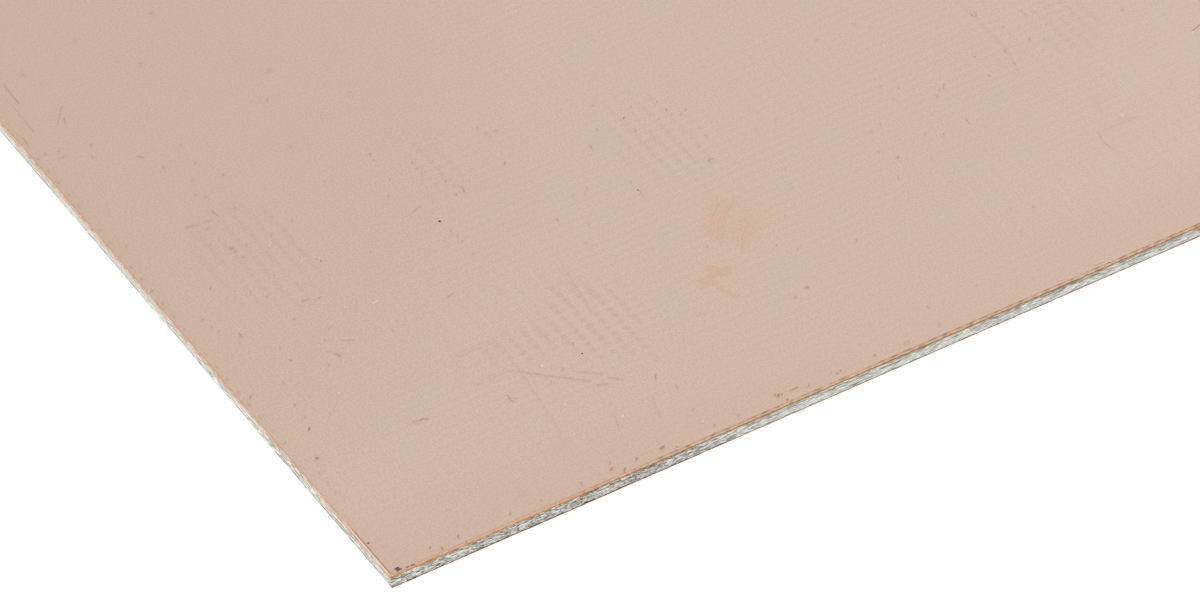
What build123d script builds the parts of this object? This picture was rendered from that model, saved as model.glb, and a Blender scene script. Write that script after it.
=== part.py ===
"""Double-sided copper clad board: a flat sheet of woven glass and epoxy laminate with copper foil bonded to
both faces, guillotined to a 160 x 100 mm blank, 0.8 mm thick.

Frame: +Z up, origin on the underside at the middle of the sheet, X along the length, which is the warp of the
glass cloth, and Y along the width. All sizes are millimetres.

The blade comes down on the top face. It draws the top foil over the upper edge of the laminate into a small lip
and trims that lip flush with the cut. Below the lip the laminate breaks rather than shears, so the cut face
leans in a little towards the underside. The bottom foil stays flat and ends in the same cut face.
"""

import os
from math import radians, sin, sqrt

from build123d import *

# The sheet
board_length = 160.0  # X, along the warp
board_width = 100.0  # Y, along the weft
core_thickness = 0.73  # glass and epoxy laminate
top_foil_thickness = 0.035
bottom_foil_thickness = 0.035

# The guillotined edge
lip_inner_radius = 0.15  # the laminate's upper edge, round which the top foil is drawn down
lip_turn = 70.0  # degrees that the underside of the foil has turned where the cut trims it
shear_lean = 0.04  # how far the foot of the cut face lies inside its top

# Heights above the underside
core_bottom = bottom_foil_thickness
core_top = core_bottom + core_thickness
board_top = core_top + top_foil_thickness
bend_centre = core_top - lip_inner_radius

# Both faces of the foil bend about one line, which runs lip_run inside the cut
lip_run = lip_inner_radius * sin(radians(lip_turn))
lip_foot = bend_centre + sqrt(lip_inner_radius**2 - lip_run**2)  # below this height the cut shows laminate

BASE = (Align.CENTER, Align.CENTER, Align.MIN)


def cut_blank():
    """What the blade leaves: upright down to the foot of the lip, then leaning in to the underside."""
    underside = Rectangle(board_length - 2 * shear_lean, board_width - 2 * shear_lean)
    widest = Pos(0, 0, lip_foot) * Rectangle(board_length, board_width)
    upper_part = Pos(0, 0, lip_foot) * Box(board_length, board_width, board_top - lip_foot, align=BASE)
    return loft([underside, widest]) + upper_part


def below_bend(bend_radius):
    """All that lies below one face of the bent foil: a block, rounded along its top, that runs past the cut."""
    past_cut = bend_radius - lip_run
    block = Box(
        board_length + 2 * past_cut,
        board_width + 2 * past_cut,
        bend_centre + bend_radius,
        align=BASE,
    )
    return fillet(block.edges().group_by(Axis.Z)[-1], bend_radius)


def slab(bottom, thickness):
    """A layer of the stack, wider than the sheet, to be trimmed by the cut."""
    return Pos(0, 0, bottom) * Box(2 * board_length, 2 * board_width, thickness, align=BASE)


def laminate_core():
    """The glass and epoxy sheet, its upper edge rounded under the lip of the foil."""
    return cut_blank() & below_bend(lip_inner_radius) & slab(core_bottom, core_thickness)


def top_copper_foil():
    """The top foil, flat over the laminate and drawn down round all four edges, mitred at the corners."""
    foil_outside = below_bend(lip_inner_radius + top_foil_thickness)
    return cut_blank() & (foil_outside - below_bend(lip_inner_radius))


def bottom_copper_foil():
    """The bottom foil, a flat sheet whose cut end is part of the leaning cut face."""
    return cut_blank() & slab(0, bottom_foil_thickness)


pieces = {
    "laminate_core": laminate_core(),
    "top_copper_foil": top_copper_foil(),
    "bottom_copper_foil": bottom_copper_foil(),
}

os.makedirs("parts", exist_ok=True)
for name, piece in pieces.items():
    export_step(piece, f"parts/{name}.step")
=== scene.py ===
# %% [markdown]
# # A copper clad board, fresh from the guillotine
# The real thing is a sheet of woven glass and epoxy with a copper foil pressed on each face. Someone cut
# it to size with a guillotine, and the cut edge is where most of its character lies: the blade pulled the
# top foil down into a lip, smeared a little copper over the glass, and left the yarns broken and frayed.
# The sizes come from a measured model, which is loaded first. Everything after that is the look of it.

# %% Load the measured model
import math

import bpy
import numpy as np
from mathutils import Matrix, Vector


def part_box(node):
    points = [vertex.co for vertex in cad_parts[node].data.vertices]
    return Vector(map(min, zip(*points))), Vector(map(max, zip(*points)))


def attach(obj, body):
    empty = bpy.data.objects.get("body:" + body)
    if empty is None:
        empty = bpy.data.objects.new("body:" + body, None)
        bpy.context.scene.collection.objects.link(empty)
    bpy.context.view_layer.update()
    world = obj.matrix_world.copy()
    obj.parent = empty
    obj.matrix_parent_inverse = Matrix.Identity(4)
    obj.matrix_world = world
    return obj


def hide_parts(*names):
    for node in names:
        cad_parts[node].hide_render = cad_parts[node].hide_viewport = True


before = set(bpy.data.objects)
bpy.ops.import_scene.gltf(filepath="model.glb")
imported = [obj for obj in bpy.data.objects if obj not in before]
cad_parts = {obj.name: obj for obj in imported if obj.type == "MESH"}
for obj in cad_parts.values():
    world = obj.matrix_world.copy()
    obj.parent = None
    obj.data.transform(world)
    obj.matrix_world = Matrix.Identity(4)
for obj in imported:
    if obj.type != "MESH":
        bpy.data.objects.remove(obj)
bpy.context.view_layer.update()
MM = 0.001
print("nodes:", sorted(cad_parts))

# %% [markdown]
# ## Camera
# The photograph is a close view with a long lens. Its grid of yarns was used to work out where the camera
# stood, so the camera is written down as a photographer would: what it aims at, how far off it is, from
# which side, how steeply it looks down and how much it leans. Building the three axes by hand keeps the
# lean easy to see.

# %% Camera
lens_length = 225.3  # millimetres, on a sensor 36 mm wide
aim_point = Vector((-61.67, -38.61, 0.8)) * MM
camera_distance = 374.3 * MM
camera_azimuth = math.radians(27.55)  # 0 looks along +Y
camera_elevation = math.radians(40.64)
camera_lean = math.radians(4.25)  # clockwise

forward = Vector((
    math.sin(camera_azimuth) * math.cos(camera_elevation),
    math.cos(camera_azimuth) * math.cos(camera_elevation),
    -math.sin(camera_elevation),
))
level_right = Vector((math.cos(camera_azimuth), -math.sin(camera_azimuth), 0.0))
level_up = level_right.cross(forward)
camera_right = math.cos(camera_lean) * level_right - math.sin(camera_lean) * level_up
camera_up = math.sin(camera_lean) * level_right + math.cos(camera_lean) * level_up

camera_data = bpy.data.cameras.new("camera")
camera_data.lens = lens_length
camera_data.sensor_width = 36.0
camera_data.clip_start = 0.02
camera_data.clip_end = 30.0
camera = bpy.data.objects.new("camera", camera_data)
bpy.context.collection.objects.link(camera)
turn = Matrix((camera_right, camera_up, -forward)).transposed().to_4x4()
camera.matrix_world = Matrix.Translation(aim_point - camera_distance * forward) @ turn
bpy.context.scene.camera = camera
print("camera at", [round(c / MM, 1) for c in camera.matrix_world.translation], "mm")

# %% [markdown]
# ## Small helpers for nodes
# Light and materials are drawings made of nodes, and wiring them one by one is long-winded. These helpers
# add one node, connect whatever sockets they are given, set the rest as numbers, and hand back the output
# socket.

# %% Node helpers


def node(tree, kind, inputs, **settings):
    """Adds a node with its settings, and gives each named or numbered input a socket or a plain value."""
    made = tree.nodes.new(kind)
    for key, value in settings.items():
        setattr(made, key, value)
    for key, value in inputs.items():
        if isinstance(value, bpy.types.NodeSocket):
            tree.links.new(value, made.inputs[key])
        else:
            made.inputs[key].default_value = value
    return made


def calc(tree, operation, *values, clamp=False):
    """One sum on numbers."""
    made = node(tree, "ShaderNodeMath", dict(enumerate(values)), operation=operation, use_clamp=clamp)
    return made.outputs[0]


def vector_calc(tree, operation, *values):
    """One sum on vectors. Lengths, distances and dot products come back as numbers."""
    made = node(tree, "ShaderNodeVectorMath", dict(enumerate(values)), operation=operation)
    return made.outputs["Value" if operation in ("LENGTH", "DISTANCE", "DOT_PRODUCT") else "Vector"]


def fade(tree, value, start, end, low=0.0, high=1.0):
    """A smooth step from low at start to high at end."""
    inputs = {"Value": value, "From Min": start, "From Max": end, "To Min": low, "To Max": high}
    return node(tree, "ShaderNodeMapRange", inputs, interpolation_type="SMOOTHSTEP", clamp=False).outputs[0]


def noise(tree, at, scale, detail=2.0, flat=True):
    """Noise from 0 to 1, flat for patterns that lie on the XY plane."""
    inputs = {"Vector": at, "Scale": scale, "Detail": detail}
    return node(tree, "ShaderNodeTexNoise", inputs, noise_dimensions="2D" if flat else "3D").outputs[0]


def tint(tree, share, under, over, mode="MIX"):
    """Lays one colour over another, by a share from 0 to 1."""
    made = node(tree, "ShaderNodeMix", {0: share, 6: under, 7: over}, data_type="RGBA", blend_type=mode)
    return made.outputs[2]


def attribute(tree, name, factor=None):
    """A number that the shape stored under this name, times the factor where one is given."""
    stored = node(tree, "ShaderNodeAttribute", {}, attribute_name=name).outputs["Fac"]
    return stored if factor is None else calc(tree, "MULTIPLY", stored, factor)


def shows_background(tree):
    """1 for a ray that shows the background, from the camera, off a gloss or through glass, and 0 if not."""
    ray = tree.nodes.new("ShaderNodeLightPath").outputs
    direct_or_gloss = calc(tree, "MAXIMUM", ray["Is Camera Ray"], ray["Is Glossy Ray"])
    return calc(tree, "MAXIMUM", direct_or_gloss, ray["Is Transmission Ray"])


def new_material(name):
    """A material with one Principled shader: (material, its tree, the shader)."""
    material = bpy.data.materials.new(name)
    material.use_nodes = True
    return material, material.node_tree, material.node_tree.nodes["Principled BSDF"]


print("helpers ready")

# %% [markdown]
# ## Light
# The photograph was taken in an even white tent, so most of the light here comes from a white world.
# Metal shows what it faces, so rays that leave the copper see that same white. Two large soft lamps give
# the light a direction: without them a bump would not show at all. Their power is set so that a white
# card on the floor renders as white, which keeps every colour as it is written.

# %% World and lamps
tent_white = (1.0, 1.0, 1.0, 1.0)
tent_strength = 0.62  # for rays that light a matt surface

scene = bpy.context.scene
scene.view_settings.view_transform = "Standard"
world = bpy.data.worlds.new("white tent")
world.use_nodes = True
scene.world = world
sky = world.node_tree
level = node(sky, "ShaderNodeMapRange", {
    "Value": shows_background(sky), "To Min": tent_strength, "To Max": 1.0,
}).outputs[0]
background = sky.nodes["Background"]
background.inputs["Color"].default_value = tent_white
sky.links.new(level, background.inputs["Strength"])


def softbox(name, place, target, size, watts):
    """A square area lamp at place, turned to face target. Places are in metres."""
    lamp = bpy.data.lights.new(name, "AREA")
    lamp.shape = "SQUARE"
    lamp.size = size
    lamp.energy = watts
    holder = bpy.data.objects.new(name, lamp)
    bpy.context.collection.objects.link(holder)
    holder.location = place
    holder.rotation_mode = "QUATERNION"
    holder.rotation_quaternion = (Vector(target) - Vector(place)).to_track_quat("-Z", "Y")
    holder.visible_camera = False
    return holder


softbox("key", (-0.62, -0.34, 0.55), (0.0, 0.0, 0.0), 0.55, 4.2)
softbox("sheen", (0.50, 0.24, 0.46), (0.0, 0.0, 0.0), 0.4, 0.33)

# %% [markdown]
# ## Floor
# The background of the photograph is pure white. Lighting a floor until it burns out would light the
# board too, so the floor adds a glow of its own, for the camera and for reflections only, on top of a
# thin layer of real shading. The shading keeps the board's shadow, and the glow keeps the rest white.

# %% Floor
floor_half = 6.0
floor_drop = 0.00003  # just under the board, so that the two never share a plane
floor_shading = 0.3  # the share of the floor's white that a shadow can take away
floor_glow = 0.74
matt_white = (0.8, 0.8, 0.8, 1.0)

corners = np.array([[-1, -1], [1, -1], [1, 1], [-1, 1]]) * floor_half
floor_mesh = bpy.data.meshes.new("floor")
floor_mesh.from_pydata([(x, y, -floor_drop) for x, y in corners], [], [(0, 1, 2, 3)])
floor = bpy.data.objects.new("floor", floor_mesh)
bpy.context.collection.objects.link(floor)

paper = bpy.data.materials.new("white paper")
paper.use_nodes = True
tree = paper.node_tree
tree.nodes.clear()
matt = node(tree, "ShaderNodeBsdfDiffuse", {"Color": matt_white})
thin = node(tree, "ShaderNodeBsdfDiffuse", {"Color": (floor_shading, floor_shading, floor_shading, 1.0)})
glow = node(tree, "ShaderNodeEmission", {"Strength": floor_glow})
both = node(tree, "ShaderNodeAddShader", {0: thin.outputs[0], 1: glow.outputs[0]})
shown = shows_background(tree)
choose = node(tree, "ShaderNodeMixShader", {0: shown, 1: matt.outputs[0], 2: both.outputs[0]})
node(tree, "ShaderNodeOutputMaterial", {"Surface": choose.outputs[0]})
floor_mesh.materials.append(paper)
print("floor", 2 * floor_half, "m wide")

# %% [markdown]
# ## Sizes read from the measured model
# The board has three pieces: the laminate, and a foil on each face. Each has a box in the frame, and the
# boxes say everything that the surfaces below need: how long the board is, how thick each layer is, how
# far down the foil's lip reaches and how much the cut face leans in. From here on lengths are in
# millimetres.

# %% Sizes of the board


def piece_box(name):
    """Lowest and highest corner of a piece of the measured model, in millimetres."""
    low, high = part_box(name)
    return np.array(low) / MM, np.array(high) / MM


foil_low, foil_high = piece_box("top_copper_foil")
core_low, core_high = piece_box("laminate_core")
base_high = piece_box("bottom_copper_foil")[1]

half_x, half_y, board_top = foil_high
core_top = core_high[2]
core_bottom = core_low[2]
lip_foot = foil_low[2]  # below this height the cut shows laminate
lean_at_base = half_x - base_high[0]  # how far in the cut has leaned where the bottom foil starts
lip_turn = math.radians(70.0)  # the underside of the foil has turned this far where the cut trims it
lip_radius = (core_top - lip_foot) / (1 - math.cos(lip_turn))
lip_run = lip_radius * math.sin(lip_turn)  # the bend starts this far inside the cut
outer_radius = lip_radius + board_top - core_top
outer_turn = math.asin(lip_run / outer_radius)
outer_drop = outer_radius * (1 - math.cos(outer_turn))
print(f"board {2 * half_x:.1f} x {2 * half_y:.1f} x {board_top:.2f} mm, bend radius {lip_radius:.3f} mm")

# %% [markdown]
# ## Places along the outline
# All three pieces are profiles carried round the same rectangle. The detail of the cut edge is finer than
# a tenth of a millimetre, and the camera is close to one corner, so the places where the profile is laid
# down are close together along the two edges near that corner, and further apart along the rest.
# Every place also knows how far it is along its own edge, counted from the near corner, and whether that
# edge runs along the warp or along the weft of the cloth.

# %% Places along the outline


def fine_then_coarse(length, fine_length, fine_steps, coarse_steps):
    """Places along one side, from minus half its length: fine even steps, then longer even steps."""
    near = np.linspace(0.0, fine_length, fine_steps + 1)
    far = np.linspace(fine_length, length, coarse_steps + 1)[1:]
    return np.concatenate([near, far]) - length / 2


fine_x, fine_y = 60.0, 52.0  # the steps are fine this far from the near corner
x_places = fine_then_coarse(2 * half_x, fine_x, 608, 416)
y_places = fine_then_coarse(2 * half_y, fine_y, 512, 192)

front, right_end, back, left_end = range(4)
side_counts = [len(x_places) - 1, len(y_places) - 1] * 2
side = np.repeat([front, right_end, back, left_end], side_counts)
outline_x = np.concatenate([
    x_places[:-1], np.full(side_counts[1], half_x), x_places[:0:-1], np.full(side_counts[3], -half_x),
])
outline_y = np.concatenate([
    np.full(side_counts[0], -half_y), y_places[:-1], np.full(side_counts[2], half_y), y_places[:0:-1],
])
along_x = (side == front) | (side == back)
along = np.where(along_x, outline_x + half_x, outline_y + half_y)
places = len(outline_x)
print(places, "places round the outline")

# %% [markdown]
# ## Roughness for shapes
# Torn glass and pulled copper are never regular. Value noise gives a number that wanders smoothly: random
# heights stand on a grid of cells, and between them a smooth step blends one into the next. Working on
# whole arrays keeps it fast, and each use has a seed of its own, so the board comes out the same every
# time.

# %% Value noise


def rough(u, v, cell_u, cell_v, seed):
    """Value noise from -1 to 1: random heights on a grid of cells, blended by 3t^2 - 2t^3 between them."""
    heights = np.random.default_rng(seed).uniform(-1.0, 1.0, (512, 512))
    a, b = np.broadcast_arrays(np.asarray(u) / cell_u, np.asarray(v) / cell_v)
    i, j = np.floor(a).astype(int), np.floor(b).astype(int)
    s, t = a - i, b - j
    s, t = s * s * (3 - 2 * s), t * t * (3 - 2 * t)
    i0, i1, j0, j1 = i % 512, (i + 1) % 512, j % 512, (j + 1) % 512
    low = heights[i0, j0] * (1 - s) + heights[i1, j0] * s
    high = heights[i0, j1] * (1 - s) + heights[i1, j1] * s
    return low * (1 - t) + high * t


def smooth_step(value, start, end):
    """0 before start, 1 after end, and 3t^2 - 2t^3 between them."""
    t = np.clip((value - start) / (end - start), 0.0, 1.0)
    return t * t * (3 - 2 * t)


print("noise sample", np.round(rough(np.arange(4) * 0.3, 0.0, 1.0, 1.0, 1), 3))

# %% [markdown]
# ## The cloth inside
# The glass is a plain weave: each yarn goes over one and under the next. The yarns show at the cut edge,
# and the foil above them follows their bumps, so the lip of the foil has the same rhythm as the cloth.
# Warp yarns run along the board's length, 44 to the inch, and weft yarns across it, 34 to the inch.
# Along an edge, what matters is the yarns that end in it: their pitch, and the plain weave's repeat,
# which is two.

# %% Rhythm of the weave
inch = 25.4
warp_pitch = inch / 44  # between warp yarns, counted along Y
weft_pitch = inch / 34.1  # between weft yarns, counted along X
weft_start = 0.19  # the first dip between two weft yarns, counted from the near corner
warp_start = 0.31

pitch = np.where(along_x, weft_pitch, warp_pitch)
beat_start = np.where(along_x, weft_start, warp_start)
beat = (along - beat_start) / pitch  # a whole number at each dip between two yarns
lane = along + 400.0 * side  # the same distance, but different on every side, for noise


def comb(value, width):
    """Smooth teeth, one at each whole number: exp(-(d/width)^2), with d the distance to the nearest."""
    return np.exp(-(((value + 0.5) % 1.0 - 0.5) / width) ** 2)


print(f"pitch {weft_pitch:.3f} mm along X and {warp_pitch:.3f} mm along Y")

# %% [markdown]
# ## How a layer is put together
# A layer of the board is a very flat closed shell. It could be a box with bevelled edges, but the edge
# needs thousands of points and the flat faces hardly any. So the shell has three kinds of faces. A
# profile carried round the outline makes the edge, from a little inside the upper face, out over the cut
# and back under the lower face. A coarse grid makes the middle of each face. A band of many-cornered
# faces joins the two: each has one long side on the grid and many short ones on the profile's first row.

# %% Closed layer from a carried profile
plate_inset = 3.0  # the coarse grid starts this far inside the cut
profile_inset = 1.5  # and the carried profile starts and ends this far inside it


def inside(inset):
    """The outline drawn in: x and y shrink in proportion, so sides move in by inset and corners mitre."""
    inset = np.asarray(inset, float)
    column = (slice(None),) + (None,) * (inset.ndim - 1)
    return outline_x[column] * (1 - inset / half_x), outline_y[column] * (1 - inset / half_y)


def plate(ring_row, height, step, first_index, upwards):
    """Points and faces that close one side: a grid of every step-th place, and a band out to the ring."""
    xs = x_places[::step] * (1 - plate_inset / half_x)
    ys = y_places[::step] * (1 - plate_inset / half_y)
    grid_x, grid_y = np.meshgrid(xs, ys, indexing="ij")
    points = np.stack([grid_x, grid_y, np.full_like(grid_x, height)], -1).reshape(-1, 3)
    index = first_index + np.arange(len(xs) * len(ys)).reshape(len(xs), len(ys))
    cells = np.stack([index[:-1, :-1], index[1:, :-1], index[1:, 1:], index[:-1, 1:]], -1).reshape(-1, 4)
    rim = np.concatenate([index[:-1, 0], index[-1, :-1], index[:0:-1, -1], index[0, :0:-1]])
    starts = np.arange(0, places, step)
    run = ring_row[(starts[:, None] + np.arange(step + 1)) % places]
    band = np.concatenate([run, np.roll(rim, -1)[:, None], rim[:, None]], axis=1)
    if not upwards:
        cells, band = cells[:, ::-1], band[:, ::-1]
    return points, cells, band


def build_mesh(name, points, face_groups, sharp_angle):
    """A mesh object from points in millimetres and groups of faces, smooth but for edges past sharp_angle."""
    mesh = bpy.data.meshes.new(name)
    faces = [face for group in face_groups for face in group.tolist()]
    mesh.from_pydata(np.asarray(points) * MM, [], faces)
    mesh.shade_smooth()
    mesh.set_sharp_from_angle(angle=math.radians(sharp_angle))
    made = bpy.data.objects.new(name, mesh)
    bpy.context.collection.objects.link(made)
    return made


def closed_layer(name, inset, height, upper_step, lower_step, sharp_angle=35.0):
    """A closed shell: the profile (inset, height) at every place of the outline, and a plate on each face."""
    x, y = inside(inset)
    ring = np.stack([x, y, height], -1)
    columns = inset.shape[1]
    index = np.arange(places * columns).reshape(places, columns)
    ahead = np.roll(index, -1, axis=0)
    wall = np.stack([index[:, :-1], index[:, 1:], ahead[:, 1:], ahead[:, :-1]], -1).reshape(-1, 4)
    upper = plate(index[:, 0], height[0, 0], upper_step, ring.shape[0] * columns, True)
    lower = plate(index[:, -1], height[0, -1], lower_step, ring.shape[0] * columns + len(upper[0]), False)
    points = np.concatenate([ring.reshape(-1, 3), upper[0], lower[0]])
    return build_mesh(name, points, [wall, upper[1], upper[2], lower[1], lower[2]], sharp_angle)


def store(piece, name, ring_values):
    """Keeps a number per point for the material: the ring's values, and 0 on both plates."""
    values = np.zeros(len(piece.data.vertices), np.float32)
    values[:ring_values.size] = ring_values.ravel()
    piece.data.attributes.new(name, "FLOAT", "POINT").data.foreach_set("value", values)


def store_run(piece, run, height):
    """A UV map that follows the cut edge: U is the distance along it and V the height, in millimetres."""
    uv = np.zeros((len(piece.data.vertices), 2), np.float32)
    uv[:run.size, 0] = run.ravel()
    uv[:run.size, 1] = height.ravel()
    corner_points = np.zeros(len(piece.data.loops), np.int32)
    piece.data.loops.foreach_get("vertex_index", corner_points)
    piece.data.uv_layers.new(name="edge_run").uv.foreach_set("vector", uv[corner_points].ravel())


def report(piece):
    """Prints how many triangles a piece has."""
    piece.data.calc_loop_triangles()
    print(piece.name, len(piece.data.loop_triangles), "triangles")


print("plates start", plate_inset, "mm inside the cut")

# %% [markdown]
# ## The drawn-down lip
# The blade's drag pulled the foil over the upper edge of the laminate. Where a yarn ends in the edge the
# glass is high and holds the foil up, and between yarns the foil dips. So three things change along the
# edge, in the rhythm of the weave: how far in the bend starts, how deep the lip hangs, and small creases
# on the top face, just behind the bend. Near the corner in front the blade was still settling: there the
# lip is smooth, and the rhythm fades in over the first centimetre.

# %% What changes along the lip
calm_until, rhythm_from = 8.0, 15.0  # millimetres from the corner, along the front edge
settled = np.where(side == front, smooth_step(along, calm_until, rhythm_from), 0.8)
pull = settled * (0.75 + 0.25 * rough(lane, 0.0, 5.0, 1.0, 11))
notch_tooth = comb(beat / 2, 0.065)  # once in each repeat, where the foil dips between two high yarns

# The outer skin bends more tightly than the round of the measured model
tight = np.where(along_x, 0.48, 0.36)
bend_run = tight * lip_run * (1 + pull * (0.30 * notch_tooth + 0.12 * rough(lane, 0.0, 0.5, 1.0, 12)))
# The long sides were cut first, with a shorter lip
hang_end = -0.038 - 0.035 * smooth_step(along, 20.0, 32.0)
hang = np.where(along_x, 0.014 - 0.010 * settled, hang_end)
burr_at, burr_half = 2.25, 0.3  # a bead of copper near the corner
burr = np.where(side == front, np.exp(-((along - burr_at) / burr_half) ** 2), 0.0)
foot_wander = 0.007 * rough(lane, 0.0, 0.22, 1.0, 13) + 0.006 * rough(lane, 0.0, 0.7, 1.0, 14)
ragged = np.where(along_x, 1.0, 3.0)
foot_height = lip_foot + hang + ragged * foot_wander - 0.025 * burr
foot_height = foot_height - pull * ragged * 0.012 * comb(beat / 2 + 0.5, 0.32) + pull * 0.014 * notch_tooth
cut_bump = 0.004 * (1 + rough(lane, 0.0, 0.3, 1.0, 15)) + 0.008 * pull * notch_tooth
print("the bend starts", round(bend_run.min(), 3), "to", round(bend_run.max(), 3), "mm inside the cut")

# %% [markdown]
# ## The lip's profile
# Seen from the side, the foil comes in flat from the middle of the board, turns down round the bend, ends
# in the trimmed foot and goes back under itself along the laminate. Every stretch is a few columns of
# points, and all of them together are one array with a row for each place of the outline.
# Behind the bend the foil has a row of small dents, the dashes, one over each dip of the cloth.

# %% Lip of the top foil
flat_insets = np.array([profile_inset, 1.0, 0.66, 0.46, 0.36, 0.29, 0.24, 0.20, 0.165, 0.13, 0.105])
outer_angles = np.linspace(0.0, outer_turn, 6)
inner_angles = np.linspace(lip_turn, 0.0, 4)


def arc(angles, run, drop):
    """A bend seen from the side. It starts run inside the cut, and ends at the cut, drop further down."""
    last = angles.max()
    inset = run[:, None] * (1 - np.sin(angles) / math.sin(last))
    fall = np.asarray(drop)[..., None] * (1 - np.cos(angles)) / (1 - math.cos(last))
    return inset, np.broadcast_to(fall, inset.shape)


dash_inset = np.where(along_x, 0.095, 0.25)  # how far inside the cut the dashes lie
dash_half = np.where(along_x, 0.042, 0.06)
dash_end = 0.3 * comb((beat - 0.73) / 2, 0.13) * smooth_step(along, 7.0, 13.0)
dash_tooth = np.where(along_x, comb(beat, 0.36), dash_end)
dash_tooth *= pull * smooth_step(rough(lane, 0.0, 0.75, 1.0, 16), -1.1, -0.2)


def dashes(inset):
    """How deep a point lies in a dash behind the bend: the teeth along the edge times a bell across it."""
    across = (inset - dash_inset[:, None]) / dash_half[:, None]
    return dash_tooth[:, None] * np.exp(-across ** 2)


flat_inset = np.repeat(flat_insets[None], places, 0)
crease = dashes(flat_inset)
swell = -0.003 * pull[:, None] * (1 + np.cos(2 * np.pi * beat))[:, None]
swell = swell * smooth_step(0.66 - flat_inset, 0.0, 0.35)
flat_height = board_top - 0.008 * crease + swell

outer_inset, outer_fall = arc(outer_angles, bend_run, tight * outer_drop)
inner_inset, inner_fall = arc(inner_angles, bend_run, core_top - foot_height)
outer_height = board_top - outer_fall
trim_share = np.array([0.35, 0.7])
trim_top = board_top - tight * outer_drop
trim_height = trim_top[:, None] + (foot_height - trim_top)[:, None] * trim_share
trim_inset = cut_bump[:, None] * np.array([0.5, 1.0])
under_inset = np.repeat(np.array([[0.6, profile_inset]]), places, 0)
under_height = np.full_like(under_inset, core_top)

inner_inset = inner_inset + cut_bump[:, None] * [1, 0, 0, 0]
foil_inset = np.concatenate([flat_inset, outer_inset[:, 1:], trim_inset, inner_inset, under_inset], 1)
foil_height = np.concatenate([
    flat_height, outer_height[:, 1:], trim_height, core_top - inner_fall, under_height,
], 1)
top_foil = closed_layer("top_foil", foil_inset, foil_height, 8, 32)
report(top_foil)

# %% [markdown]
# ## What the material needs to know about the lip
# The colour of the lip is not the colour of the face: bending and shearing lay bare fresh, orange copper.
# The shape already knows where that is, so each point keeps a few numbers from 0 to 1 for the material to
# read: how much it belongs to the bend, how much painted highlight it takes, how much painted shade it
# takes in a crease, how fresh the copper is, and how close it is to the torn foot of the lip, which takes
# painted shade too.

# %% Numbers for the lip's material
# The bend. Near a corner of the ends its colour and a painted highlight reach further in than its shape
fall = board_top - foil_height
near_corner = np.where(along_x, 0.0, 1 - smooth_step(along, 3.0, 6.5))[:, None]
on_bend = foil_inset < 0.12
on_face = fall < 0.012
bend_share = smooth_step(fall, 0.0005, 0.008) * on_bend
bend_share = np.maximum(bend_share, near_corner * (foil_inset < 0.09) * (fall < 0.05))
bend_share[:, -3:] = 0.0  # the last columns lie flat on the laminate

# A painted highlight, the glint on the bend, which comes and goes
glint_share = smooth_step(fall, 0.0, 0.003) * (1 - smooth_step(fall, 0.012, 0.028)) * on_bend
shine = smooth_step(rough(lane, 0.0, 0.33, 1.0, 18) + 0.5 * rough(lane, 0.0, 0.13, 1.0, 19), 0.1, 0.7)
highlight_here = 1 - 0.7 * smooth_step(along, 6.0, 12.0)
highlight_top = bend_share * (1 - smooth_step(fall, 0.03, 0.06)) * highlight_here[:, None]
highlight_top = np.maximum(highlight_top * (0.4 + 0.6 * shine[:, None]), 0.6 * shine[:, None] * bend_share)
highlight_top = np.maximum(highlight_top, near_corner * bend_share * (1 - smooth_step(fall, 0.01, 0.035)))
glint_share = np.where(along_x[:, None], 0.2 * glint_share, highlight_top)

# Fresh copper
freshness = np.where(side == front, 0.38 * (1 - smooth_step(along, 9.0, 15.0)) + 0.5 * burr, 0.14)
freshness = freshness * (1 + 0.25 * rough(lane, 0.0, 0.9, 1.0, 17))
golden = smooth_step(rough(lane, 0.0, 1.7, 1.0, 64), 0.0, 0.6)  # some stretches of the ends are more golden
golden = np.where(along_x, 0.0, (0.16 + 0.26 * golden) * (1 - 0.6 * smooth_step(along, 14.0, 26.0)))
freshness = freshness[:, None] + golden[:, None] * smooth_step(fall, 0.05, 0.1)

# The torn foot, darkened with painted shade
foot_shade = smooth_step(foot_height[:, None] + 0.088 - foil_height, 0.0, 0.05) * (foil_inset < 0.08)
foot_shade *= np.where(side == front, 0.3 + 0.7 * settled, np.where(along_x, 0.8, 0.1))[:, None]

# Painted shade: a dark rim behind the bend, the dashes and the notches, and a little over the bend on the
# long sides
rim_inset = np.where(along_x, 0.13 - 0.03 * settled, 0.028)[:, None] + 0.077 * near_corner
rim_width = np.where(along_x, 0.04, 0.014)[:, None] + 0.008 * near_corner
rim_shade = np.where(along_x, 0.3 - 0.08 * settled, 0.45)[:, None] + 0.55 * near_corner
rim_shade = rim_shade * np.exp(-((foil_inset - rim_inset) / rim_width) ** 2)
crease_shade = (rim_shade + 1.6 * dashes(foil_inset)) * on_face
crease_shade = np.maximum(crease_shade, np.where(along_x, 0.10 + 0.12 * settled, 0.0)[:, None] * bend_share)
notch_shade = (pull * notch_tooth * along_x)[:, None] * smooth_step(0.16 - foil_inset, 0.0, 0.05)

store(top_foil, "bend", bend_share)
store(top_foil, "glint", glint_share)
store(top_foil, "crease", np.clip(crease_shade + 0.45 * notch_shade, 0.0, 1.0))
store(top_foil, "fresh", freshness)
store(top_foil, "foot", foot_shade)
store_run(top_foil, np.repeat(lane[:, None], foil_inset.shape[1], 1), foil_height)
print("lip foot between", round(foot_height.min(), 3), "and", round(foot_height.max(), 3), "mm up")

# %% [markdown]
# ## The cut face of the laminate
# Below the lip the cut goes through four plies of cloth. Yarns that run along the edge are sliced
# lengthways: they show as long wavy bundles of white glass. Yarns that end in the edge show as small lens
# shapes, between the waves, speckled where single filaments broke. Resin fills the rest, darker and set
# back a little. A bundle follows a cosine whose period is the weave's repeat, with a bell curve across
# it, and a lens is a bell curve both ways. The strongest of them at a point says how much glass there is,
# and noise stretched along the bundles gives the filaments.

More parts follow.
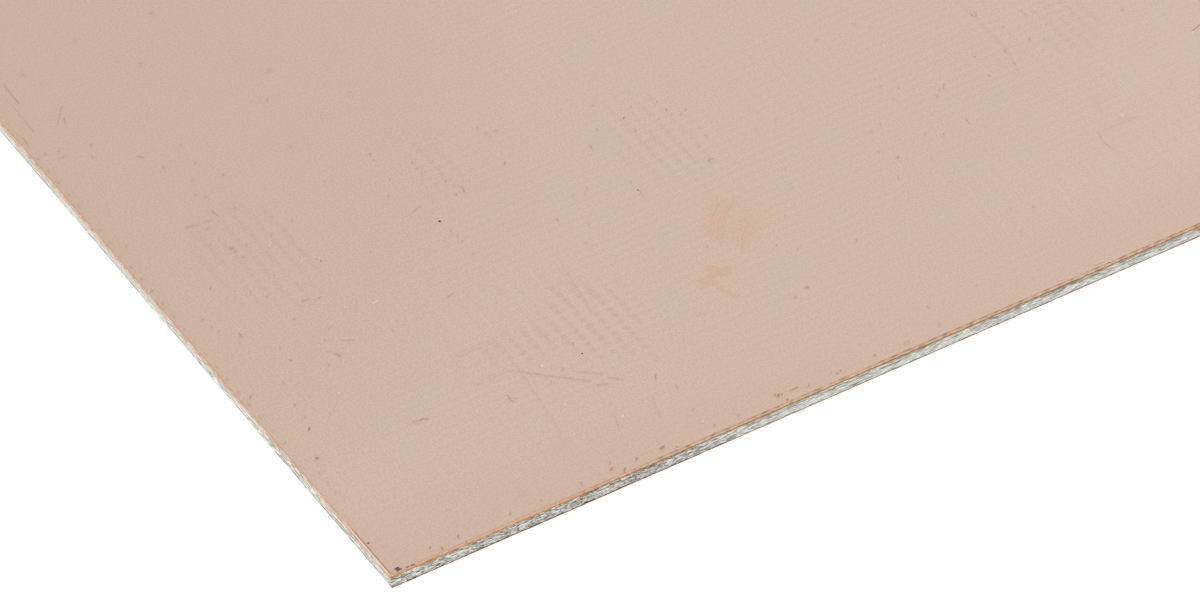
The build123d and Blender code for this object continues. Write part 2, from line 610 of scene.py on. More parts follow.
# %% Yarns in the cut face
plies = 4
ply_height = (core_top - core_bottom) / plies
crimp = 0.05  # how far a yarn swings up and down
yarn_half = 0.042  # half the height of a bundle or a lens
face_rows = 21
face_share = np.linspace(0.0, 1.0, face_rows)
face_height = foot_height[:, None] + (core_bottom - foot_height[:, None]) * face_share
run = np.repeat(lane[:, None], face_rows, 1)
drift = 0.5 * rough(lane, 0.0, 9.0, 1.0, 21)


def ply_glass(ply):
    """Glass of one ply over the cut face: (bundles that run along the edge, lens-shaped yarn ends)."""
    middle = core_bottom + ply_height * (ply + 0.5) + 0.012 * rough(lane, 0.0, 4.0, 1.0, 30 + ply)
    shift = 0.5 * (ply % 2) + 0.37 * ply + drift
    swing = crimp * np.cos(np.pi * (beat + shift))
    sliced = smooth_step(rough(lane, 0.0, 5.5, 1.0, 40 + ply), -0.75, -0.05)
    bundle = sliced[:, None] * np.exp(-((face_height - (middle + swing)[:, None]) / yarn_half) ** 2)
    lens = np.exp(-((face_height - (middle - swing)[:, None]) / yarn_half) ** 2)
    lens = comb(beat + shift, 0.3)[:, None] * lens
    return bundle, lens


glass = [ply_glass(ply) for ply in range(plies)]
bundles = np.max([bundle for bundle, lens in glass], axis=0)
lenses = np.max([lens for bundle, lens in glass], axis=0)
print("glass bundles cover", round(float(np.mean(bundles > 0.5)), 2), "of the cut face")

# %% [markdown]
# ## From yarns to a torn surface
# Now the face gets its depth. Bundles stand proud, resin is set back, and broken filaments leave small
# pits. Right under the lip the laminate is set back most, and the thin dark line there is painted in as
# shade.
# On the first two centimetres of the front edge the blade crushed the glass more, so it has more pits.

# %% Laminate core
# Filaments, combed along the bundles
wave = 0.6 * crimp * np.cos(np.pi * (beat + drift))[:, None] + 0.035 * rough(run, face_height, 1.5, 0.22, 55)
combed = face_height - wave - 0.02 * rough(run, face_height, 0.45, 0.12, 56)
along_yarn = run * np.where(along_x, 1.0, 0.62)[:, None]  # longer filaments show on the ends
filaments = 0.65 * rough(along_yarn, combed, 0.75, 0.038, 51)
filaments = filaments + 0.35 * rough(along_yarn, combed, 0.26, 0.045, 52)

# Pits where the glass is crushed, and chips along the foot
crumbs = rough(run, face_height, 0.105, 0.045, 53) * 0.6 + rough(run, face_height, 0.22, 0.06, 54) * 0.4
crushed_in_front = 1 - 0.72 * smooth_step(along, 14.0, 24.0)
crushed_elsewhere = 0.26 - 0.18 * smooth_step(along, 8.0, 24.0)
crushed = np.where(side == front, crushed_in_front, crushed_elsewhere)
pits = crushed[:, None] * smooth_step(crumbs + 0.12 * (0.5 - bundles), 0.12, 0.42)
chip_depth = np.where(along_x, 0.08 + 0.35 * crushed, 0.25)
chipped = chip_depth * smooth_step(rough(lane, 0.0, 0.35, 1.0, 57), -0.2, 0.5)
pits = np.maximum(pits, chipped[:, None] * np.exp(-((face_height - core_bottom) / 0.035) ** 2))

# How far the face is set back
under_lip = np.exp(-((foot_height[:, None] - face_height) / 0.02) ** 2)
lean = lean_at_base * np.clip((lip_foot - face_height) / (lip_foot - core_bottom), 0.0, 1.0)
setback = 0.002 + 0.008 * (1 - bundles) + 0.010 * filaments + 0.022 * pits + 0.012 * under_lip
bulge = 0.045 * smooth_step(rough(run, face_height, 1.4, 0.5, 58), 0.0, 0.8)
bulge = bulge * smooth_step(0.55 - face_height, 0.0, 0.15) * ~along_x[:, None]
face_inset = lean + np.maximum(setback, 0.0) - bulge

core_arc_inset, core_arc_fall = arc(np.linspace(0.0, lip_turn, 3), bend_run, core_top - foot_height)
core_top_inset = np.full((places, 1), profile_inset)
core_inset = np.concatenate([core_top_inset, core_arc_inset[:, :-1], face_inset, core_top_inset], 1)
core_height = np.concatenate([
    np.full((places, 1), core_top), core_top - core_arc_fall[:, :-1], face_height,
    np.full((places, 1), core_bottom),
], 1)
core = closed_layer("laminate", core_inset, core_height, 32, 32, 60.0)
report(core)

# %% [markdown]
# ## What the material needs to know about the glass
# As on the lip, the shape passes on what it knows: how white the glass is at each point, how dark the
# pits are, and where the blade smeared copper down over the glass, which it did mostly where the foil
# dips between yarns.

# %% Numbers for the laminate's material
smear_place = comb(beat / 2, 0.12) * smooth_step(rough(lane, 0.0, 0.75, 1.0, 61), -0.5, 0.4)
smear_reach = 0.05 + 0.12 * (0.5 + 0.5 * rough(lane, 0.0, 0.3, 1.0, 62))
smears = smear_place[:, None] * np.exp(-((foot_height[:, None] - face_height) / smear_reach[:, None]) ** 2)
flecks = smooth_step(rough(run, face_height, 0.3, 0.09, 63), 0.82, 0.95) * smooth_step(face_height, 0.3, 0.45)

# Smears on the front edge: distance from the corner, depth below the top, half-length, strength
smear_spots = [
    (6.35, 0.16, 0.1, 0.4), (8.7, 0.31, 0.1, 0.5), (9.2, 0.28, 0.07, 0.7), (11.8, 0.14, 0.12, 0.5),
    (12.4, 0.37, 0.1, 0.4), (14.04, 0.36, 0.1, 1.0), (14.04, 0.18, 0.14, 0.4), (15.2, 0.18, 0.1, 0.4),
    (24.7, 0.2, 0.1, 0.6), (26.4, 0.18, 0.17, 1.0), (28.1, 0.36, 0.1, 0.35), (29.3, 0.22, 0.12, 0.6),
    (30.0, 0.3, 0.12, 0.3), (31.2, 0.22, 0.1, 0.5), (32.0, 0.19, 0.1, 0.5), (33.6, 0.2, 0.1, 0.4),
    (35.0, 0.19, 0.17, 0.7), (39.3, 0.2, 0.12, 0.7), (40.9, 0.24, 0.1, 0.5), (42.1, 0.2, 0.12, 0.5),
    (43.8, 0.24, 0.1, 0.4),
]
for spot_along, spot_depth, spot_half, spot_strength in smear_spots:
    sideways_off = ((along - spot_along) / spot_half)[:, None]
    spot = np.exp(-sideways_off ** 2 - ((board_top - face_height - spot_depth) / 0.045) ** 2)
    flecks = np.maximum(flecks, spot_strength * spot * (side == front)[:, None])

# How white the glass is, which changes slowly along the front edge
middle_up = smooth_step(face_height, 0.30, 0.48)
change_at = [9.0, 12.0, 18.0, 24.0, 31.0, 38.0]  # millimetres from the corner, along the front edge
dimmer = np.interp(along, change_at, [0.03, -0.06, -0.06, 0.05, 0.10, 0.22])
brighter = np.interp(along, change_at, [0.09, 0.15, 0.15, 0.14, 0.12, 0.09])
dimmer_above = np.where(side == front, dimmer, 0.08)[:, None] * middle_up
brighter_below = np.where(side == front, brighter, 0.0)[:, None] * (1 - middle_up)
dark_middle = np.where(side == front, 0.09, 0.0)[:, None] * np.exp(-((face_height - 0.46) / 0.09) ** 2)
calm = np.where(along_x, 1.0, 1.0 - 0.66 * smooth_step(along, 8.0, 28.0))[:, None]  # fewer broken filaments
whiteness = 0.60 + calm * (0.42 * (bundles - 0.12) + 0.66 * filaments)
whiteness = whiteness + brighter_below - dimmer_above - dark_middle - 0.03 * crushed[:, None]
# Painted shade right under the lip
whiteness = np.clip(whiteness - 0.10 * under_lip, 0.0, 1.0)


def on_core(values, fill=0.0):
    """The cut face's numbers with plain columns added for the rows that the foil hides."""
    hidden = core_inset.shape[1] - face_rows - 1
    return np.concatenate([np.full((places, hidden), fill), values, np.full((places, 1), fill)], 1)


store(core, "whiteness", on_core(whiteness, 0.5))
store(core, "pits", on_core(np.clip(pits, 0.0, 1.0)))
store(core, "lenses", on_core(lenses))
store(core, "smears", on_core(np.clip(smears + 0.8 * flecks, 0.0, 1.0)))
store(core, "under_lip", on_core(under_lip))
store(core, "combed", on_core(combed))
store(core, "calm", on_core(np.broadcast_to(calm, combed.shape)))
store(core, "crushed", on_core(np.broadcast_to(crushed[:, None], combed.shape)))
store_run(core, np.repeat(lane[:, None], core_inset.shape[1], 1), core_height)
print("pits over half deep on", round(float(np.mean(pits > 0.5)), 3), "of the cut face")

# %% [markdown]
# ## The bottom foil
# The bottom foil stays flat, because the blade meets it last and tears through. Its edge shows as the
# thin brown line at the foot of the board, darkened with painted shade because it faces down to the floor.
# It is the same kind of shell with a much shorter profile, and a little noise makes the torn edge ragged.

# %% Bottom foil
underside = 0.002  # leaves room for the marks between the foil and the floor
tear = 0.008 * (1 + rough(lane, 0.0, 0.16, 1.0, 71)) + 0.006 * (1 + rough(lane, 0.0, 0.6, 1.0, 72))
curl = 0.003 * (1 + rough(lane, 0.0, 0.4, 1.0, 73))
crushed_base = np.where(side == front, crushed, 0.0)  # the same crushing pushed the torn edge out a little
outer_edge = lean_at_base - np.where(along_x, 0.016, 0.006) - 0.016 * crushed_base + tear
base_insets = np.array([profile_inset, 0.3])
base_inset = np.concatenate([
    np.repeat(base_insets[None], places, 0),
    (lean_at_base + 0.3 * tear)[:, None], (outer_edge + 0.004)[:, None], outer_edge[:, None],
    np.repeat(np.array([[0.25, 0.7, profile_inset]]), places, 0),
], 1)
base_height = np.concatenate([
    np.full((places, 2), core_bottom),
    np.full((places, 1), core_bottom), (0.6 * core_bottom + 0.5 * curl)[:, None],
    (underside + curl)[:, None], np.full((places, 3), underside),
], 1)
bottom_foil = closed_layer("bottom_foil", base_inset, base_height, 32, 8)
torn_columns = slice(2, 5)  # the profile's columns that lie on the torn edge
torn_share = np.zeros_like(base_inset)
torn_share[:, torn_columns] = 1.0
store(bottom_foil, "bend", torn_share)
# Painted shade on the torn edge, which faces down to the floor: stronger where crushed, and uneven
torn_edge_shade = np.clip(0.62 + 0.2 * crushed_base + 0.6 * rough(lane, 0.0, 0.5, 1.0, 74), 0.0, 1.0)
store(bottom_foil, "crease", torn_edge_shade[:, None] * torn_share)
store(bottom_foil, "fresh", 0.3 * torn_share)
store(bottom_foil, "foot", 0.9 * torn_share)
store_run(bottom_foil, np.repeat(lane[:, None], base_inset.shape[1], 1), base_height)
report(bottom_foil)

# %% [markdown]
# ## Frayed yarn ends
# Where yarns end in the cut, some filaments stand out of it by up to a fifth of a millimetre, mostly on
# the two short ends, where the warp is cut across. Each tuft is a few thin tapered needles. All of them
# are worked out together: a needle is a ring of points that shrinks along a slightly drooping line.

# %% Frayed yarn ends


def needles(roots, directions, lengths, radii, droop, sides=5, rings=4):
    """Tapered needles as one set of points and faces. Ring k lies at length*k/(rings-1), and its radius
    shrinks with the square root of what is left. droop bends it down by droop*length*(k/(rings-1))^2."""
    count = len(roots)
    share = np.linspace(0.0, 1.0, rings)
    line = roots[:, None] + directions[:, None] * (lengths[:, None] * share)[..., None]
    line[..., 2] -= (droop * lengths)[:, None] * share**2
    helper = np.where(np.abs(directions[:, 2:3]) > 0.8, [[1.0, 0.0, 0.0]], [[0.0, 0.0, 1.0]])
    first = np.cross(directions, helper)
    first /= np.linalg.norm(first, axis=1, keepdims=True)
    second = np.cross(directions, first)
    turn_angle = 2 * np.pi * np.arange(sides) / sides
    spoke = first[:, None] * np.cos(turn_angle)[:, None] + second[:, None] * np.sin(turn_angle)[:, None]
    taper = radii[:, None] * np.sqrt(1 - 0.85 * share)
    points = line[:, :, None] + spoke[:, None] * taper[..., None, None]
    points[..., 2] = np.maximum(points[..., 2], underside)
    index = np.arange(count * rings * sides).reshape(count, rings, sides)
    ahead = np.roll(index, -1, axis=2)
    wall = np.stack([index[:, :-1], ahead[:, :-1], ahead[:, 1:], index[:, 1:]], -1).reshape(-1, 4)
    return points.reshape(-1, 3), [wall[:, ::-1], index[:, 0], index[:, -1, ::-1]]


draw = np.random.default_rng(81)
outward = np.select(
    [np.repeat((side == s)[:, None], 3, 1) for s in range(4)],
    [np.array(n, float)[None] for n in ((0, -1, 0), (1, 0, 0), (0, 1, 0), (-1, 0, 0))],
)

# Tufts: the ends fray more than the sides, and a place stands for as much edge as it has round it
tufts = 400
per_tuft = 4
spacing = np.where(along < fine_x, 0.1, 0.25)
weights = np.where(along_x, 0.35, 0.6) * spacing
tuft_place = draw.choice(places, tufts, p=weights / weights.sum())
place = np.repeat(tuft_place, per_tuft)
count = len(place)
root_height = np.repeat(core_bottom + 0.05 + 0.5 * draw.random(tufts) ** 1.6, per_tuft)
root_height = root_height + draw.uniform(-0.025, 0.025, count)

# The needles of each tuft, which start a little inside the cut
sideways = np.stack([-outward[place, 1], outward[place, 0], np.zeros(count)], -1)
shift = draw.normal(0.0, 0.035, count)
root = np.stack([outline_x[place], outline_y[place], root_height], -1) + sideways * shift[:, None]
root = root - outward[place] * 0.05
direction = outward[place] + sideways * draw.normal(0.0, 0.35, count)[:, None]
direction[:, 2] = draw.normal(-0.15, 0.25, count)
direction /= np.linalg.norm(direction, axis=1, keepdims=True)
length = 0.05 + np.abs(draw.normal(0.0, 0.032, count)) + 0.01 * ~along_x[place]
radius = draw.uniform(0.005, 0.011, count)
fray_points, fray_faces = needles(root, direction, length, radius, 0.25)
frayed_ends = build_mesh("frayed_yarn_ends", fray_points, fray_faces, 40.0)
report(frayed_ends)

# %% [markdown]
# ## Loose glass filaments
# A few filaments came away whole. One lies in an arch over the front edge, with both ends caught under
# the lip, and a short one lies across the left edge. A filament is a thin tube along a smooth line
# through a few given points, which a cubic through its neighbours rounds off.

# %% Loose filaments


def smooth_line(points, steps):
    """A smooth line through the points: between two, the cubic whose slopes are (next - previous)/2."""
    p = np.asarray(points, float)
    p = np.concatenate([[2 * p[0] - p[1]], p, [2 * p[-1] - p[-2]]])
    t = np.linspace(0.0, 1.0, steps, endpoint=False)[:, None]
    a, b, c, d = p[:-3, None], p[1:-2, None], p[2:-1, None], p[3:, None]
    line = b + 0.5 * t * (c - a + t * (2 * a - 5 * b + 4 * c - d + t * (3 * (b - c) + d - a)))
    return np.concatenate([line.reshape(-1, 3), p[-2:-1]])


def filament(points, radius, steps=8, sides=8):
    """A round tube along a smooth line: a circle of points square to the line at each of its steps."""
    line = smooth_line(points, steps)
    heading = np.gradient(line, axis=0)
    heading /= np.linalg.norm(heading, axis=1, keepdims=True)
    first = np.cross(heading, [0.31, 0.17, 0.94])
    first /= np.linalg.norm(first, axis=1, keepdims=True)
    second = np.cross(heading, first)
    turn_angle = 2 * np.pi * np.arange(sides) / sides
    spoke = first[:, None] * np.cos(turn_angle)[:, None] + second[:, None] * np.sin(turn_angle)[:, None]
    tube = (line[:, None] + radius * spoke).reshape(-1, 3)
    index = np.arange(len(line) * sides).reshape(len(line), sides)
    ahead = np.roll(index, -1, axis=1)
    wall = np.stack([index[:-1], ahead[:-1], ahead[1:], index[1:]], -1).reshape(-1, 4)
    return tube, [wall, index[:1, ::-1], index[-1:]]


corner_to_board = np.array([-half_x, -half_y, board_top])
arch_points = np.array([
    (39.98, -0.05, -0.16), (40.05, 0.10, 0.015), (40.35, 0.27, 0.02), (40.75, 0.36, 0.02),
    (41.05, 0.33, 0.02), (41.25, 0.15, 0.018), (41.42, -0.02, -0.02), (41.5, -0.05, -0.2),
])
stub_points = np.array([(-0.04, 25.12, -0.12), (0.05, 25.15, 0.0), (0.22, 25.22, 0.02), (0.42, 25.3, 0.02)])
filament_radius = 0.012

tube_points, tube_faces = filament(arch_points + corner_to_board, filament_radius)
stub_tube, stub_faces = filament(stub_points + corner_to_board, filament_radius)
loose = build_mesh(
    "loose_filaments",
    np.concatenate([tube_points, stub_tube]),
    tube_faces + [faces + len(tube_points) for faces in stub_faces],
    40.0,
)
report(loose)

# %% [markdown]
# ## Marks that can be pointed at
# Most of what makes this sheet itself is small: specks where resin squeezed onto the foil, brown ticks
# where a fibre pressed through, dents, and scratches from handling. They could be painted in the
# material, but a few hundred of them would make it slow, since every ray would ask about every mark. So
# each mark is a tiny patch of surface of its own, a few thousandths of a millimetre above the foil. It
# has the foil's material, and its points say how strong the mark is there, down to nothing at the rim, so
# a patch has no border that could be seen. Those that show in the photograph are listed, in
# millimetres from the near corner, along the length and the width.

# %% Specks, ticks and smudges seen in the photograph
# Nearly black specks: x, y, radius
black_specks = [
    (0.27, 2.67, 0.065), (14.97, 21.76, 0.085), (15.85, 8.9, 0.06), (24.56, 18.22, 0.055),
    (0.97, 0.12, 0.045),
]
# Specks of rust-coloured dirt: x, y, radius
rust_specks = [(8.48, 22.43, 0.065), (8.36, 22.67, 0.035)]
# Brown ticks in a row behind the front edge, which lean with the run of the cloth: x, y, strength
front_ticks = [
    (2.6, 0.68, 0.55), (3.05, 0.36, 0.5), (4.1, 0.66, 0.5), (4.25, 0.16, 0.6), (7.0, 0.7, 0.7),
    (8.75, 0.68, 0.33), (11.0, 0.6, 0.28), (12.68, 0.66, 0.5), (12.8, 0.72, 0.4), (13.2, 0.26, 0.65),
    (13.32, 0.4, 0.5), (14.12, 0.66, 0.44), (15.52, 0.64, 0.7), (15.66, 0.72, 0.7), (16.2, 0.3, 0.5),
    (18.55, 0.68, 0.32), (19.9, 0.6, 0.24), (22.2, 0.92, 0.6), (22.3, 0.78, 0.7), (22.45, 0.72, 0.6),
    (22.5, 0.24, 0.65), (23.95, 0.6, 0.48), (25.35, 0.82, 0.2), (25.58, 0.62, 0.42), (25.82, 0.66, 0.36),
    (27.8, 0.68, 0.34), (29.55, 0.64, 0.25), (29.72, 0.66, 0.25), (31.7, 0.92, 0.24), (31.9, 2.3, 0.36),
    (34.83, 2.3, 0.2), (1.87, 11.6, 0.76),
]
# Smaller ones all over: x, y, strength
ticks = [
    (0.38, 11.4, 0.5), (0.75, 8.45, 0.45), (0.75, 7.55, 0.45), (0.75, 6.8, 0.4), (1.76, 11.48, 0.6),
    (12.33, 35.3, 0.8), (15.14, 20.8, 0.5), (15.14, 20.26, 0.55), (15.15, 19.7, 0.5), (15.15, 18.6, 0.4),
    (26.84, 23.56, 1.0), (2.1, 12.45, 0.5), (2.15, 13.5, 0.7), (3.25, 12.0, 0.35), (3.6, 12.15, 0.35),
    (13.5, 7.95, 0.5), (14.5, 8.45, 0.5), (15.85, 9.8, 0.5), (22.1, 10.4, 0.4), (25.2, 12.5, 0.5),
    (28.85, 9.75, 0.35), (29.7, 12.3, 0.4), (31.2, 14.0, 0.45), (31.7, 8.65, 0.7), (28.15, 10.6, 0.65),
    (18.3, 2.27, 0.5), (18.5, 4.15, 0.45), (12.9, 1.15, 0.3), (1.38, 21.83, 0.6), (1.47, 21.04, 0.5),
    (1.6, 20.47, 0.45), (4.44, 26.77, 0.35), (5.9, 25.6, 0.6), (7.35, 25.6, 0.45), (8.1, 25.0, 0.35),
    (8.76, 26.07, 0.35), (5.36, 24.92, 0.75), (5.23, 25.5, 0.5), (4.9, 27.93, 0.45), (6.8, 28.5, 0.5),
    (2.82, 23.7, 0.6), (5.93, 22.76, 0.4), (4.35, 22.3, 0.4), (4.87, 21.5, 0.5), (6.63, 21.47, 0.35),
    (2.37, 19.67, 0.55), (5.23, 19.27, 0.35), (2.07, 19.1, 0.35), (3.53, 17.7, 0.5), (3.56, 16.53, 0.75),
    (5.68, 16.96, 0.7), (6.47, 17.7, 0.5), (6.3, 17.6, 0.35), (5.79, 15.5, 0.5), (5.0, 15.2, 0.45),
    (2.5, 15.33, 0.4), (8.9, 15.7, 0.4), (10.9, 21.63, 0.5), (6.0, 30.2, 0.4), (5.67, 30.67, 0.4),
    (0.8, 28.97, 0.4), (11.67, 27.84, 0.35), (14.56, 27.84, 0.4), (14.63, 28.43, 0.45), (14.5, 26.04, 0.45),
    (16.07, 26.07, 0.5), (16.1, 26.6, 0.6), (16.07, 25.5, 0.4), (16.73, 23.16, 0.6), (16.76, 24.3, 0.6),
    (13.8, 25.0, 0.3), (20.93, 29.53, 0.4), (20.27, 27.17, 0.35), (20.0, 23.9, 0.5), (18.87, 22.5, 0.3),
    (24.56, 18.93, 0.4), (25.28, 23.57, 0.6), (26.1, 25.35, 0.5), (26.84, 22.37, 0.5), (26.77, 21.3, 0.4),
    (26.73, 20.07, 0.3), (27.67, 24.2, 0.35), (29.0, 23.77, 0.5), (29.04, 22.96, 0.8), (29.07, 22.47, 0.35),
    (29.5, 22.25, 0.45), (29.87, 22.4, 0.45), (29.7, 20.07, 0.35), (28.96, 19.5, 0.35), (28.33, 22.5, 0.4),
    (31.6, 15.36, 0.4), (32.4, 24.93, 0.3), (23.04, 17.63, 0.35), (21.1, 17.27, 0.4), (21.6, 19.73, 0.35),
    (36.27, 13.97, 0.45), (39.0, 13.87, 0.4), (39.73, 13.2, 0.4), (38.2, 12.0, 0.35), (36.03, 11.63, 0.55),
    (40.47, 5.87, 0.4), (39.4, 6.4, 0.35), (45.9, 2.7, 0.35), (44.2, 15.93, 0.6), (44.47, 17.67, 0.45),
    (39.83, 17.76, 0.4), (39.1, 18.33, 0.35), (39.13, 17.07, 0.4), (37.5, 15.7, 0.4), (47.0, 18.9, 0.45),
    (48.23, 16.93, 0.4), (47.56, 17.33, 0.35), (50.6, 17.3, 0.4), (50.67, 18.2, 0.35), (52.87, 16.6, 0.55),
    (41.87, 12.6, 0.35), (6.9, 34.64, 0.5), (5.33, 33.5, 0.4), (6.87, 32.9, 0.4), (6.04, 31.8, 0.4),
    (7.57, 31.27, 0.4), (0.73, 37.9, 0.5), (1.4, 37.64, 0.4), (3.04, 37.17, 0.4), (2.7, 36.27, 0.4),
]
# Soft brown smudges: x, y, radius, strength
smudges = [
    (1.15, 9.47, 0.17, 0.45), (1.15, 9.47, 0.08, 0.9), (27.7, 6.95, 0.12, 0.45), (26.85, 6.62, 0.1, 0.4),
    (36.85, 12.95, 0.12, 0.36), (5.15, 25.85, 0.15, 0.36), (40.7, 23.5, 0.14, 0.16),
    (38.47, 23.47, 0.13, 0.18), (41.27, 22.8, 0.12, 0.2), (13.6, 37.45, 0.2, 0.15),
    (8.27, 41.67, 0.16, 0.12), (2.73, 44.33, 0.16, 0.15), (10.7, 45.1, 0.2, 0.18), (6.27, 45.3, 0.14, 0.16),
    (16.2, 33.4, 0.13, 0.14), (11.56, 31.27, 0.14, 0.15), (20.4, 26.5, 0.2, 0.15), (20.9, 26.42, 0.1, 0.32),
    (36.8, 15.55, 0.15, 0.16),
]
# A grey flake of resin at the very corner, as a few round lobes: x, y, radius
flakes = [
    (0.47, 0.34, 0.08), (0.57, 0.35, 0.085), (0.53, 0.26, 0.12), (0.46, 0.2, 0.08), (0.56, 0.19, 0.09),
    (0.66, 0.17, 0.055),
]
print(len(front_ticks) + len(ticks), "ticks and", len(smudges), "smudges")

# %% [markdown]
# ## Strokes that can be pointed at
# Scratches, rubbed streaks and fibres of dust are strokes: a start, an end, a width and a strength. A
# bent scratch is two or three strokes end to end. A bundle of fine rubbed lines is only its middle line
# here, because its lines are alike enough to be drawn at random.

# %% Strokes seen in the photograph
# Dents and scratches with dirt in them: start, end, width, strength
dark_strokes = [
    ((0.9, 0.11), (1.08, 0.09), 0.08, 1.6), ((1.19, 0.11), (1.25, 0.12), 0.09, 1.4),
    ((1.34, 0.12), (1.43, 0.13), 0.1, 1.6), ((6.3, 9.2), (6.6, 9.05), 0.09, 0.56),
    ((6.6, 9.05), (6.85, 9.08), 0.09, 0.64), ((6.85, 9.08), (7.1, 8.93), 0.09, 0.78),
    ((11.2, 8.25), (11.22, 7.8), 0.1, 0.5), ((11.0, 8.0), (11.4, 7.98), 0.2, 0.12),
    ((12.15, 9.9), (13.2, 8.85), 0.07, 0.34), ((13.2, 8.85), (15.1, 6.95), 0.07, 0.4),
    ((14.85, 8.1), (15.9, 7.0), 0.05, 0.3), ((15.3, 6.42), (15.75, 6.28), 0.08, 0.6),
    ((16.1, 6.6), (16.5, 6.12), 0.08, 0.42), ((17.1, 4.3), (16.7, 2.8), 0.05, 0.5),
    ((18.05, 5.55), (17.88, 5.18), 0.1, 0.56), ((14.95, 4.4), (14.65, 3.3), 0.05, 0.35),
    ((22.9, 0.74), (23.35, 0.78), 0.09, 0.85), ((13.85, 22.98), (14.35, 23.2), 0.1, 0.26),
    ((14.35, 23.2), (14.75, 23.42), 0.09, 0.36), ((17.2, 23.75), (17.15, 23.1), 0.08, 0.5),
    ((17.4, 23.8), (17.3, 23.3), 0.07, 0.4), ((4.1, 28.65), (4.6, 28.45), 0.14, 0.25),
    ((5.0, 28.5), (5.45, 28.35), 0.12, 0.24), ((5.72, 29.0), (5.85, 28.5), 0.08, 0.56),
    ((2.38, 19.9), (2.37, 19.45), 0.06, 0.44), ((6.25, 20.25), (6.7, 20.12), 0.07, 0.38),
    ((6.85, 19.95), (7.1, 20.0), 0.07, 0.5), ((6.45, 16.5), (6.9, 16.2), 0.08, 0.55),
    ((5.45, 16.2), (5.75, 15.5), 0.06, 0.24), ((24.55, 18.0), (24.55, 17.4), 0.07, 0.36),
    ((28.7, 18.0), (28.82, 18.22), 0.1, 0.62), ((28.9, 18.25), (29.05, 18.2), 0.09, 0.5),
    ((32.96, 18.67), (33.37, 19.27), 0.08, 0.22), ((24.35, 22.7), (24.25, 22.3), 0.09, 0.44),
    ((20.0, 18.55), (19.98, 18.2), 0.07, 0.65), ((20.2, 16.2), (20.4, 15.85), 0.07, 0.5),
    ((1.5, 44.3), (1.48, 43.6), 0.1, 0.24), ((1.5, 43.6), (1.49, 42.4), 0.1, 0.42),
    ((1.13, 43.0), (1.12, 39.9), 0.08, 0.3), ((3.24, 40.87), (2.33, 39.67), 0.08, 0.28),
    ((2.87, 39.93), (2.64, 39.27), 0.09, 0.5), ((1.1, 37.18), (1.7, 37.12), 0.08, 0.3),
    ((0.38, 40.0), (0.37, 39.2), 0.1, 0.45), ((41.37, 13.6), (41.3, 13.15), 0.09, 0.5),
    ((41.1, 15.95), (41.25, 16.15), 0.12, 0.34), ((41.42, 16.3), (41.5, 16.45), 0.12, 0.28),
    ((41.7, 16.3), (41.95, 16.65), 0.14, 0.26), ((46.33, 8.93), (46.13, 8.2), 0.09, 0.24),
    ((46.12, 8.1), (46.25, 7.35), 0.09, 0.55), ((48.53, 19.55), (48.55, 19.1), 0.1, 0.24),
    ((49.0, 19.25), (49.0, 18.95), 0.08, 0.24), ((4.65, 35.0), (4.82, 34.78), 0.1, 0.34),
    ((0.45, 15.2), (0.7, 15.42), 0.09, 0.7), ((12.4, 16.42), (12.85, 16.48), 0.07, 0.4),
    ((38.7, 4.3), (38.85, 4.5), 0.09, 0.4),
]
# Rubbed streaks where the dull skin of the copper is worn to orange: start, end, width, strength
orange_strokes = [
    ((12.9, 12.0), (12.2, 5.5), 0.08, 0.4), ((12.2, 5.5), (11.7, 3.5), 0.08, 0.3),
    ((11.2, 15.2), (10.1, 10.8), 0.08, 0.2), ((18.5, 15.5), (17.9, 11.5), 0.09, 0.55),
    ((10.5, 12.33), (13.2, 12.3), 0.2, 0.2), ((10.4, 9.98), (12.0, 9.97), 0.16, 0.16),
    ((17.0, 14.3), (17.8, 14.25), 0.14, 0.24), ((46.24, 23.2), (46.29, 20.67), 0.18, 0.24),
    ((46.29, 20.67), (46.23, 18.67), 0.2, 0.32), ((46.23, 18.67), (46.07, 17.07), 0.2, 0.36),
    ((46.07, 17.07), (45.8, 16.0), 0.17, 0.36), ((45.8, 16.0), (45.57, 15.2), 0.14, 0.4),
    ((45.3, 17.3), (45.25, 16.0), 0.14, 0.22), ((47.67, 11.4), (47.4, 10.33), 0.1, 0.35),
    ((22.1, 19.4), (22.5, 19.85), 0.12, 1.0), ((22.1, 8.4), (22.7, 8.0), 0.22, 0.3),
    ((28.2, 20.0), (28.2, 18.6), 0.12, 0.5), ((46.5, 9.05), (48.7, 9.0), 0.1, 0.2),
]
# Bundles of fine rubbed lines: points along the middle, number of lines, spread to the sides
bundles_rubbed = [
    (((25.7, 12.3), (26.1, 13.2), (26.9, 14.2), (28.2, 15.2)), 8, 0.5),
    (((26.3, 10.9), (26.9, 12.0), (27.7, 12.8), (28.8, 13.5)), 7, 0.42),
]
